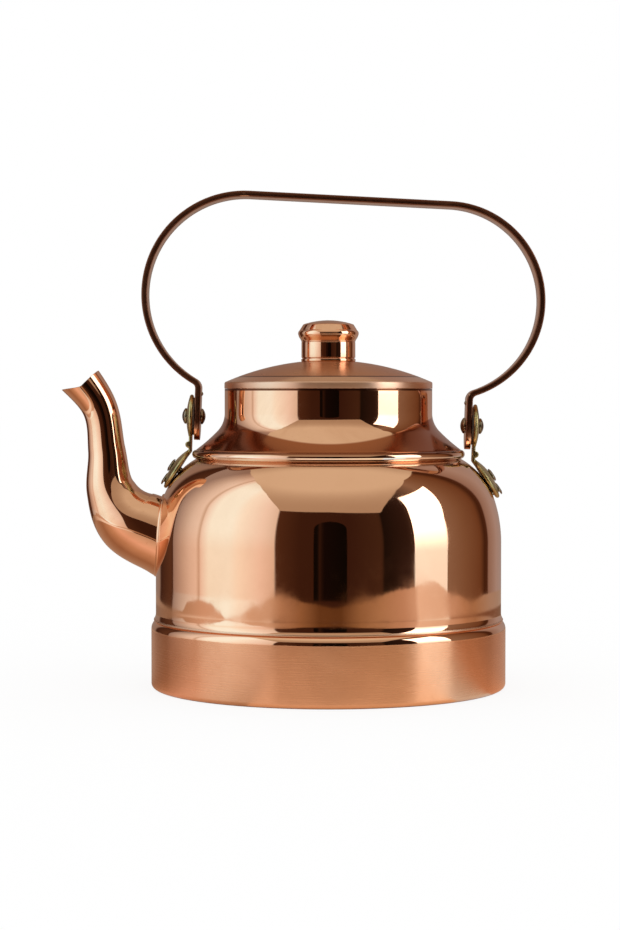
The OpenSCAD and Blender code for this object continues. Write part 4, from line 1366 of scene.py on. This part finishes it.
def dome_outline(r, edge, middle, at, to_r=0.0, step=4):
    """Points of a domed end from its edge to its middle, as (radius, height)."""
    rise = middle - edge
    ball = (r * r + rise * rise) / abs(2 * rise)
    start, end = math.degrees(math.acos(r / ball)), math.degrees(math.acos(to_r / ball))
    count = max(3, round(abs(end - start) / step))
    way = 1 if rise > 0 else -1
    points = []
    for i in range(count + 1):
        a = math.radians(start + (end - start) * i / count)
        points.append((ball * math.cos(a), at + middle + way * (ball * math.sin(a) - ball)))
    return points


# Heights of the upper and the lower lobe's middle over its back
UPPER_MIDDLE, LOWER_MIDDLE = 0.0034, 0.0042


class EarLines:
    """Where an ear's lobes and rivets lie, on one side of the kettle."""

    washer = 0.0007  # thickness of the pivot washer
    side_gap = 0.00015  # play beside the strap's leg
    waist_t = 0.0016  # thickness of the waist
    lobe_turn = math.radians(25.3)  # how far up the shoulder's curve the lower lobe lies
    seat_gap = 0.00005  # from the body's face to the lower lobe's back

    def __init__(self, scene, side):
        size, body = scene.kettle_bail, BodyLines(scene.kettle_body)
        self.size = size
        self.pivot = hinge_place(side)
        self.ear_in = size.leg_out + self.side_gap + self.washer
        self.bend = self.pivot @ Vector((self.ear_in, 0, -size.ear_drop))
        foot_x = body.tight_x + body.size.tight_curve * math.cos(self.lobe_turn)
        foot_z = body.tight_z + body.size.tight_curve * math.sin(self.lobe_turn)
        lean = math.atan2(foot_x - abs(self.bend.x), self.bend.z - foot_z)
        out = Vector((side * math.cos(lean), 0, math.sin(lean)))
        up = Vector((-side * math.sin(lean), 0, math.cos(lean)))
        turn = Matrix((out, up.cross(out), up)).transposed().to_4x4()
        self.lobe = Matrix.Translation(self.bend) @ turn
        over, above = abs(self.bend.x) - body.tight_x, self.bend.z - body.tight_z
        past = over * math.cos(lean) + above * math.sin(lean)
        self.seat = body.size.tight_curve + self.seat_gap - past

    def lobe_face(self, off, middle):
        """Height of the lower lobe's domed face at a distance from its middle."""
        rise = middle - self.size.lobe_edge
        r = self.size.lower_lobe - self.size.lobe_edge / 2
        ball = (r * r + rise * rise) / (2 * rise)
        return self.seat + middle - ball + math.sqrt(ball * ball - off * off)


def lobe_outline(r, edge, middle):
    """A lobe's outline: its flat back, its round rim and its domed face."""
    rim = edge / 2
    return ([(0, 0)] + arc(r - rim, rim, rim, -90, 75, 12)
            + dome_outline(r - rim, edge, middle, 0, step=2))


class KETTLE_OT_ears(Operator):
    """Builds the two cast ears: two domed lobes joined by a beaded waist"""

    bl_idname = "kettle.ears"
    bl_label = "Ears"

    def execute(self, context):
        size = context.scene.kettle_bail
        for side, node in ((LEFT, "ear_left"), (RIGHT, "ear_right")):
            lines = EarLines(context.scene, side)
            upper = lobe_outline(size.upper_lobe, size.lobe_edge, UPPER_MIDDLE)
            lower = lobe_outline(size.lower_lobe, size.lobe_edge, LOWER_MIDDLE)
            upper_place = lines.pivot @ Matrix.Translation((lines.ear_in, 0, 0))
            lower_place = lines.lobe @ Matrix.Translation((lines.seat, 0, -size.lower_lobe))
            ear = joined(node + "_cast", [
                turned("upper", upper, LOBE_STEPS, on_x(upper_place)),
                turned("lower", lower, LOBE_STEPS, on_x(lower_place)),
                self.waist(lines, size)])
            settle(ear, [node], "kettle", "aged_brass", finish_named("brass"))
        return {"FINISHED"}

    def waist(self, lines, size):
        """The waist from lobe to lobe, with its bead, as a run of rounded sections."""
        half, thick, ease = 0.004, lines.waist_t, 0.0005
        bead_r, bead_at = 0.0017, size.ear_drop * 0.8
        overlap, back, pitch = 0.0015, 0.0001, 0.0004
        places = []
        down = -size.upper_lobe + overlap
        while down > -size.ear_drop:
            off = abs(-down - bead_at)
            swell = math.sqrt(bead_r ** 2 - off ** 2) if off < bead_r else 0.0
            places.append((lines.pivot, lines.ear_in + back, down, thick + swell))
            down -= pitch
        for i in range(10):
            places.append((lines.lobe, lines.seat * i / 9 + back, -pitch - 2 * pitch * i, thick))
        rows = []
        for place, inner, z, depth in places:
            section = rounded_section(half, 0, depth, ease)
            rows.append([place @ Vector((inner + out, across, z)) for across, out in section])
        return netted("waist", rows, open_ends=True)


class KETTLE_OT_rivets(Operator):
    """Builds the shoulder rivets, the pivot rivets and the finish of the pivot washers"""

    bl_idname = "kettle.rivets"
    bl_label = "Rivets and Washers"

    def execute(self, context):
        size, bronze = context.scene.kettle_bail, finish_named("bronze")
        for side, word in ((LEFT, "left"), (RIGHT, "right")):
            lines = EarLines(context.scene, side)
            heads = []
            for i in (0, 1):
                off = i * size.rivet_pitch
                seat = lines.lobe_face(off, LOWER_MIDDLE)
                place = lines.lobe @ Matrix.Translation((0, 0, -size.lower_lobe - off))
                heads.append(turned("head", self.shoulder_outline(seat), RIVET_STEPS, on_x(place)))
            rivets = joined("shoulder_rivets_%s_peened" % word, heads)
            settle(rivets, ["shoulder_rivets_" + word], "kettle", "dark_rivet", bronze)
            pivot = turned("pivot_rivet_%s_peened" % word, self.pivot_outline(size, lines),
                           RIVET_STEPS, on_x(lines.pivot))
            settle(pivot, ["pivot_rivet_" + word], "kettle", "dark_rivet", bronze)
            dress("pivot_washer_" + word, finish_named("leather"))
        return {"FINISHED"}

    def pivot_outline(self, size, lines):
        """A pivot rivet's outline: its two domed heads and the shank that the bail turns on."""
        head, tall, shank, sunk = size.pivot_head, 0.0023, 0.0025, 0.0001
        inner = size.leg_out - size.strap - lines.side_gap
        outer = lines.ear_in + UPPER_MIDDLE - sunk
        return eased(
            dome_outline(head, -tall * 0.35, -tall, inner)[::-1]
            + [(head, inner), (shank, inner), (shank, outer), (head, outer)]
            + dome_outline(head, tall * 0.35, tall, outer))

    def shoulder_outline(self, seat):
        """A shoulder rivet's outline: a dished head outside, a shank, and a peened tail inside."""
        shank, head, tall = 0.0018, 0.0035, 0.0015
        tail, tail_tall, inner = 0.003, 0.0012, -0.0017
        dish, dish_z = head * 0.62, seat + tall * 0.7
        return eased(
            dome_outline(tail, -tail_tall * 0.4, -tail_tall, inner)[::-1]
            + [(tail, inner), (shank, inner), (shank, seat), (head, seat)]
            + dome_outline(head, tall * 0.4, tall, seat, dish)
            + [(dish * 0.8, dish_z), (0, dish_z)])


# ---------------------------------------------------------------- the studio

# The kettle stands in a room of cards that only its metal mirrors: walls with a lamp panel on the
# left, a strip light on the right and a dark post in front, a ceiling, and a floor in three zones.
# The tones run round the kettle, as degrees from the camera's side and a colour. The lamp panel
# and the room's walls come first, then the floor from far to near.
PANEL_TONES = [
    (-117.4, (0.34, 0.3, 0.3)), (-112, (0.46, 0.42, 0.42)), (-105, (0.62, 0.6, 0.6)),
    (-98, (0.79, 0.8, 0.83)), (-91, (0.9, 0.93, 0.98)), (-88.8, (0.62, 0.56, 0.5)),
    (-87, (0.95, 1.0, 1.08)), (-80, (1.06, 1.42, 1.62)), (-64, (1.06, 1.43, 1.65)),
    (-57, (1.06, 1.28, 1.4)), (-42, (0.95, 0.97, 1.03)), (-33.6, (0.8, 0.78, 0.78))]
WALL_TONES = [
    (-180, (0.3, 0.22, 0.18)), (-144, (0.3, 0.22, 0.18)), (-140, (0.05, 0.02, 0.012)),
    (-122, (0.1, 0.045, 0.025)), (-118, (0.08, 0.035, 0.02)), *PANEL_TONES,
    (-32.9, (0.08, 0.034, 0.018)), (-18, (0.046, 0.018, 0.01)), (12, (0.04, 0.016, 0.01)),
    (32.2, (0.06, 0.028, 0.016)), (32.9, (0.012, 0.007, 0.005)), (50, (0.03, 0.015, 0.011)),
    (78.6, (0.28, 0.19, 0.14)), (95, (0.22, 0.125, 0.075)), (112, (0.16, 0.07, 0.033)),
    (118, (0.06, 0.022, 0.01)), (122.4, (0.08, 0.03, 0.014)), (124, (0.3, 0.21, 0.18)),
    (140, (0.4, 0.32, 0.3)), (180, (0.3, 0.22, 0.18))]
BAND_TONES = [
    (-180, (0.36, 0.25, 0.18)), (-118, (0.34, 0.24, 0.17)), (-103, (0.47, 0.33, 0.24)),
    (-84, (0.69, 0.5, 0.4)), (-56, (0.76, 0.6, 0.5)), (-36, (0.63, 0.47, 0.37)),
    (-29, (0.47, 0.3, 0.2)), (-17, (0.3, 0.165, 0.085)), (-6, (0.14, 0.065, 0.025)),
    (7, (0.13, 0.06, 0.022)), (18, (0.3, 0.175, 0.09)), (31, (0.44, 0.28, 0.17)),
    (46, (0.55, 0.36, 0.26)), (53.5, (0.68, 0.5, 0.4)), (56, (0.88, 0.73, 0.64)),
    (75, (0.8, 0.64, 0.54)), (80, (0.66, 0.47, 0.37)), (93, (0.5, 0.31, 0.2)),
    (104, (0.41, 0.25, 0.15)), (125, (0.41, 0.31, 0.25)), (180, (0.36, 0.25, 0.18))]
RING_TONES = [
    (-180, (0.25, 0.16, 0.11)), (-118, (0.3, 0.2, 0.14)), (-104, (0.6, 0.46, 0.38)),
    (-84, (0.95, 0.9, 0.86)), (-60, (1.05, 1.1, 1.15)), (-34, (0.85, 0.8, 0.76)),
    (-33, (0.06, 0.025, 0.013)), (0, (0.04, 0.016, 0.01)), (53, (0.06, 0.03, 0.018)),
    (54, (1.0, 1.1, 1.15)), (78, (1.0, 1.1, 1.1)), (79, (0.3, 0.16, 0.09)), (122, (0.2, 0.1, 0.06)),
    (180, (0.25, 0.16, 0.11))]
NEAR_TONES = [
    (-180, (0.5, 0.36, 0.27)), (-109, (0.42, 0.28, 0.2)), (-90, (0.36, 0.2, 0.12)),
    (-72, (0.6, 0.37, 0.24)), (-57, (0.92, 0.62, 0.5)), (-43, (0.78, 0.58, 0.46)),
    (-27, (0.6, 0.46, 0.36)), (-25, (1.0, 0.78, 0.62)), (0, (1.0, 0.8, 0.64)),
    (42.5, (1.06, 0.84, 0.62)), (43.5, (0.92, 1.05, 1.15)), (62, (0.86, 0.95, 0.95)),
    (64, (0.84, 0.5, 0.32)), (88, (0.7, 0.43, 0.28)), (100, (0.58, 0.38, 0.27)),
    (180, (0.5, 0.36, 0.27))]
# The ceiling's tone low on the walls, high up, and behind the kettle
OVERHEAD_LOW = (0.45, 0.37, 0.29)
OVERHEAD = (0.7, 0.65, 0.55)
BEHIND_OVERHEAD = (0.42, 0.34, 0.26)
# How high the room's walls reach, and how far out the floor's far band reaches, by the same
# degrees and in metres
WALL_TOPS = [
    (-180, 0.69), (-160, 0.742), (-142, 0.96), (-125, 1.09), (-98, 1.15), (-71, 0.98), (-53, 0.74),
    (-34, 0.397), (0, 0.402), (34.5, 0.375), (44, 0.56), (62, 0.84), (91, 1.09), (121, 1.03),
    (141, 0.85), (160, 0.68), (180, 0.69)]
BAND_REACH = [
    (-180, 0.6), (-118, 0.5), (-104, 0.5), (-99, 0.58), (-88, 0.605), (-78, 0.59), (-71, 0.54),
    (-65, 0.49), (-57, 0.51), (-45, 0.6), (-30.6, 0.69), (-11, 0.627), (3, 0.595), (23, 0.66),
    (45, 0.72), (66, 0.76), (85, 0.65), (101, 0.58), (119, 0.615), (180, 0.6)]
# Where the floor's far band and its middle ring start, in metres from the axis
BAND_NEAR, RING_NEAR = 0.475, 0.4
# How soft the room's lines are: the walls' tops, the band's reach, the band's start, the ring's
TOP_SOFT, REACH_SOFT, BAND_SOFT, RING_SOFT = 0.004, 0.009, 0.012, 0.01
# How many metres of floor a metre up the wall stands for, and how much the band's edge ripples
WALL_FOLD, RIPPLE = 10.0, 0.02
# How far the mirrored floor and the cards' feet lie over the real floor
FLOOR_LIFT, CARD_LIFT = 0.0006, 0.0007
ROOM_STEPS = 160


def way_round(tree):
    """The place round the kettle, from 0 to 1 over a turn, with the camera's side at 0.5."""
    x, y, _ = split(tree, place_on(tree))
    angle = sums(tree, "ARCTAN2", x, sums(tree, "MULTIPLY", y, -1.0))
    return sums(tree, "ADD", sums(tree, "DIVIDE", angle, 2 * math.pi), 0.5)


def ramp_round(tree, way, stops, smooth="LINEAR"):
    """Colours, or single values, that change with the place round the kettle."""
    ramp = add(tree, "ShaderNodeValToRGB", {0: way})
    ramp.color_ramp.interpolation = smooth
    elements = ramp.color_ramp.elements
    while len(elements) > 1:
        elements.remove(elements[-1])
    for i, (degrees, tone) in enumerate(stops):
        stop = elements[0] if i == 0 else elements.new(0.5 + degrees / 360)
        stop.position = 0.5 + degrees / 360
        stop.color = rgba(tone) if isinstance(tone, tuple) else (tone, tone, tone, 1)
    return ramp.outputs[0]


def glowing(name):
    """A card's material: the tree and its emission shader's colour."""
    material = bpy.data.materials.new(name)
    material.use_nodes = True
    tree = material.node_tree
    tree.nodes.clear()
    glow = add(tree, "ShaderNodeEmission", {"Strength": 1.0})
    out = add(tree, "ShaderNodeOutputMaterial")
    tree.links.new(glow.outputs[0], out.inputs["Surface"])
    return material, tree, glow.inputs["Color"]


def past_line(tree, value, line, soft):
    """Whether a value is past a soft line, as an output socket."""
    return between(tree, value, line - soft, line + soft)


def floored(tree, way, radius, walls):
    """The floor's tones, which end on the far floor or low on the walls in soft humps."""
    place = place_on(tree)
    out = sums(tree, "MINIMUM", off_axis(tree, place), radius)
    along = sums(tree, "ADD", out, sums(tree, "MULTIPLY", split(tree, place)[2], WALL_FOLD))
    ripple = sums(tree, "SUBTRACT", noise(tree, place, 90.0, 3.0), 0.5)
    along = sums(tree, "ADD", along, sums(tree, "MULTIPLY", ripple, RIPPLE))
    near = blended(tree, past_line(tree, out, RING_NEAR, RING_SOFT),
                   ramp_round(tree, way, NEAR_TONES), ramp_round(tree, way, RING_TONES))
    floor = blended(tree, past_line(tree, out, BAND_NEAR, BAND_SOFT),
                    near, ramp_round(tree, way, BAND_TONES))
    past = sums(tree, "SUBTRACT", along, ramp_round(tree, way, BAND_REACH, "EASE"))
    return blended(tree, past_line(tree, past, 0.0, REACH_SOFT), floor, walls)


def only_mirrored(card):
    """A card that only shows in the metal, and lights nothing else."""
    card.visible_camera = card.visible_diffuse = card.visible_transmission = False
    card.visible_volume_scatter = card.visible_shadow = False


def standing_card(name, radius, columns, material):
    """A curved card that stands round the kettle, from columns of (degrees, foot, top)."""
    parts = 6
    columns = [[a + (b - a) * i / parts for a, b in zip(here, there)]
               for here, there in zip(columns, columns[1:]) for i in range(parts)] + [columns[-1]]
    vertices = [(radius * math.sin(math.radians(a)), -radius * math.cos(math.radians(a)), z)
                for a, foot, top in columns for z in (foot, top)]
    faces = [[2 * i, 2 * i + 2, 2 * i + 3, 2 * i + 1] for i in range(len(columns) - 1)]
    mesh = bpy.data.meshes.new(name)
    mesh.from_pydata(vertices, [], faces)
    mesh.materials.append(material)
    card = bpy.data.objects.new(name, mesh)
    bpy.context.scene.collection.objects.link(card)
    only_mirrored(card)


class KETTLE_OT_stage(Operator):
    """Sets the plain floor, the plain light, the cards round the kettle and the camera"""

    bl_idname = "kettle.stage"
    bl_label = "Studio"

    def execute(self, context):
        size = context.scene.kettle_studio
        self.floor()
        self.light(context.scene)
        self.surround(size)
        self.panel(size)
        self.strip_light(size)
        self.post(size)
        self.camera(context.scene, size)
        context.scene.view_settings.view_transform = "Standard"
        return {"FINISHED"}

    def floor(self):
        """The plain floor, nearly white to the camera, with the kettle's shadow kept."""
        mesh = bpy.data.meshes.new("studio_floor")
        reach, count, whitened = 12.0, 96, 0.86
        turns = [2 * math.pi * i / count for i in range(count)]
        vertices = [(reach * math.cos(a), reach * math.sin(a), 0) for a in turns]
        mesh.from_pydata(vertices, [], [list(range(count))])
        floor = bpy.data.objects.new("studio_floor", mesh)
        bpy.context.scene.collection.objects.link(floor)
        material = bpy.data.materials.new("Pale Studio Floor")
        material.use_nodes = True
        tree = material.node_tree
        tree.nodes.clear()
        matt = add(tree, "ShaderNodeBsdfDiffuse", {"Color": (1.0, 1.0, 1.0, 1.0)})
        white = add(tree, "ShaderNodeEmission", {"Color": (1.0, 1.0, 1.0, 1.0), "Strength": 1.0})
        ray = add(tree, "ShaderNodeLightPath").outputs["Is Camera Ray"]
        seen = sums(tree, "MULTIPLY", ray, whitened)
        both = add(tree, "ShaderNodeMixShader", {0: seen, 1: matt.outputs[0], 2: white.outputs[0]})
        out = add(tree, "ShaderNodeOutputMaterial")
        tree.links.new(both.outputs[0], out.inputs["Surface"])
        mesh.materials.append(material)

    def light(self, scene):
        """Plain white light from all round, at a level that shows colours as they are written."""
        world = bpy.data.worlds.new("Plain White Room")
        world.use_nodes = True
        tree = world.node_tree
        tree.nodes.clear()
        glow = add(tree, "ShaderNodeBackground", {"Color": (1.0, 1.0, 1.0, 1.0), "Strength": 1.0})
        out = add(tree, "ShaderNodeOutputWorld")
        tree.links.new(glow.outputs[0], out.inputs["Surface"])
        scene.world = world

    def surround(self, size):
        """The room: its walls, its ceiling and its floor, turned as one hollow card."""
        r, top, skin = size.cards, 2 * size.card_height, 0.01
        material, tree, colour = glowing("Card Surround")
        way = way_round(tree)
        _, depth, up = split(tree, place_on(tree))
        overhead = blended(tree, between(tree, up, 0.4, 1.2), rgba(OVERHEAD_LOW), rgba(OVERHEAD))
        overhead = blended(tree, between(tree, depth, 0.1, r), overhead, rgba(BEHIND_OVERHEAD))
        above = sums(tree, "SUBTRACT", up, ramp_round(tree, way, WALL_TOPS))
        low = floored(tree, way, r, ramp_round(tree, way, WALL_TONES))
        tree.links.new(blended(tree, past_line(tree, above, 0.0, TOP_SOFT), low, overhead), colour)
        room = turned("card_surround", [
            (0, top), (r * 0.5, top), (r, top), (r, top * 0.6), (r, 0.3), (r, FLOOR_LIFT),
            (0, FLOOR_LIFT), (0, -0.001), (r + skin, -0.001), (r + skin, top + skin),
            (0, top + skin)], ROOM_STEPS)
        room.data.materials.append(material)
        only_mirrored(room)

    def panel(self, size):
        """The lamp panel on the left wall, a little dimmer at its foot and its top."""
        material, tree, colour = glowing("Card Panel")
        way = way_round(tree)
        up = height_over_floor(tree)
        lit = blended(tree, between(tree, up, 0.0, 0.2), (0.97, 0.86, 0.8, 1), (1, 1, 1, 1))
        lit = blended(tree, between(tree, up, 0.7, 1.15), lit, (0.86, 0.76, 0.7, 1))
        tones = blended(tree, 1.0, ramp_round(tree, way, PANEL_TONES), lit, "MULTIPLY")
        tree.links.new(floored(tree, way, size.cards, tones), colour)
        standing_card("card_panel", size.cards - 0.01, [
            (-33.4, CARD_LIFT, 0.397), (-53, CARD_LIFT, 0.74), (-71, CARD_LIFT, 0.98),
            (-98, CARD_LIFT, 1.15), (-117.4, CARD_LIFT, 1.11), (-118.5, 0.3, 1.105),
            (-124.8, 0.518, 1.09), (-135, 0.725, 1.01), (-142, 0.95, 0.962)], material)

    def strip_light(self, size):
        """The strip light on the right wall, which glows less towards its foot."""
        material, tree, colour = glowing("Card Strip Light")
        lit = blended(tree, between(tree, height_over_floor(tree), 0.0, 0.25),
                      (1.1, 1.22, 1.3, 1), (3.0, 3.1, 3.2, 1))
        tree.links.new(floored(tree, way_round(tree), size.cards, lit), colour)
        standing_card("card_strip_light", size.cards - 0.012, [
            (53.6, CARD_LIFT, 0.598), (54.6, CARD_LIFT, 0.6), (78.3, CARD_LIFT, 0.69),
            (79.3, 0.244, 0.693), (89.1, 0.725, 0.729)], material)

    def post(self, size):
        """The dark post in front, with a round top and a faint lit edge on its left."""
        material, tree, colour = glowing("Card Post")
        tree.links.new(ramp_round(tree, way_round(tree), [
            (-9.3, (0.005, 0.003, 0.002)), (-7, (0.006, 0.004, 0.003)),
            (-5.6, (0.03, 0.013, 0.008)), (-3.6, (0.008, 0.004, 0.003)),
            (10.7, (0.004, 0.003, 0.002))]), colour)
        middle, half_width, foot, top, arch = 0.7, 10, 0.002, 0.302, 0.07
        standing_card("card_post", size.cards - 0.014, [
            (middle + half_width * u, foot, top - arch * (1 - math.sqrt(1 - u * u)))
            for u in (-1, -0.97, -0.9, -0.75, -0.5, 0, 0.5, 0.75, 0.9, 0.97, 1)], material)

    def camera(self, scene, size):
        """The camera, level with the body and a little left of the axis."""
        data = bpy.data.cameras.new("Studio Camera")
        data.lens = size.lens
        camera = bpy.data.objects.new("Studio Camera", data)
        scene.collection.objects.link(camera)
        spot = Vector((-size.aside, -size.distance, size.height))
        aim = Vector((-size.aside, 0, size.aim))
        camera.location = spot
        camera.rotation_euler = (aim - spot).to_track_quat("-Z", "Y").to_euler()
        scene.camera = camera


# ---------------------------------------------------------------- panel and run

PIECES = (KETTLE_OT_base_pan, KETTLE_OT_body, KETTLE_OT_lid, KETTLE_OT_knob, KETTLE_OT_spout,
          KETTLE_OT_bail, KETTLE_OT_ears, KETTLE_OT_rivets, KETTLE_OT_stage)


class VIEW3D_PT_kettle(Panel):
    """Lists the kettle's pieces and the studio"""

    bl_label = "Kettle"
    bl_idname = "VIEW3D_PT_kettle"
    bl_space_type = "VIEW_3D"
    bl_region_type = "UI"
    bl_category = "Kettle"

    def draw(self, context):
        for piece in PIECES:
            self.layout.operator(piece.bl_idname)
        for key in SIZES:
            box = self.layout.box()
            group = getattr(context.scene, key)
            for name in group.__annotations__:
                box.prop(group, name)


SIZES = {
    "kettle_body": BodySizes,
    "kettle_lid": LidSizes,
    "kettle_spout": SpoutSizes,
    "kettle_bail": BailSizes,
    "kettle_finishes": Finishes,
    "kettle_studio": StudioSizes,
}
CLASSES = (*SIZES.values(), *PIECES, VIEW3D_PT_kettle)


def register():
    """Adds the classes, and the sizes to the scene."""
    for cls in CLASSES:
        bpy.utils.register_class(cls)
    for key, group in SIZES.items():
        setattr(bpy.types.Scene, key, PointerProperty(type=group))


def unregister():
    """Takes them away again."""
    for key in SIZES:
        delattr(bpy.types.Scene, key)
    for cls in reversed(CLASSES):
        bpy.utils.unregister_class(cls)


def main():
    """Builds every piece and the studio."""
    register()
    bpy.ops.kettle.base_pan()
    bpy.ops.kettle.body()
    bpy.ops.kettle.lid()
    bpy.ops.kettle.knob()
    bpy.ops.kettle.spout()
    bpy.ops.kettle.bail()
    bpy.ops.kettle.ears()
    bpy.ops.kettle.rivets()
    bpy.ops.kettle.stage()
    bpy.context.view_layer.update()


if __name__ == "__main__":
    main()
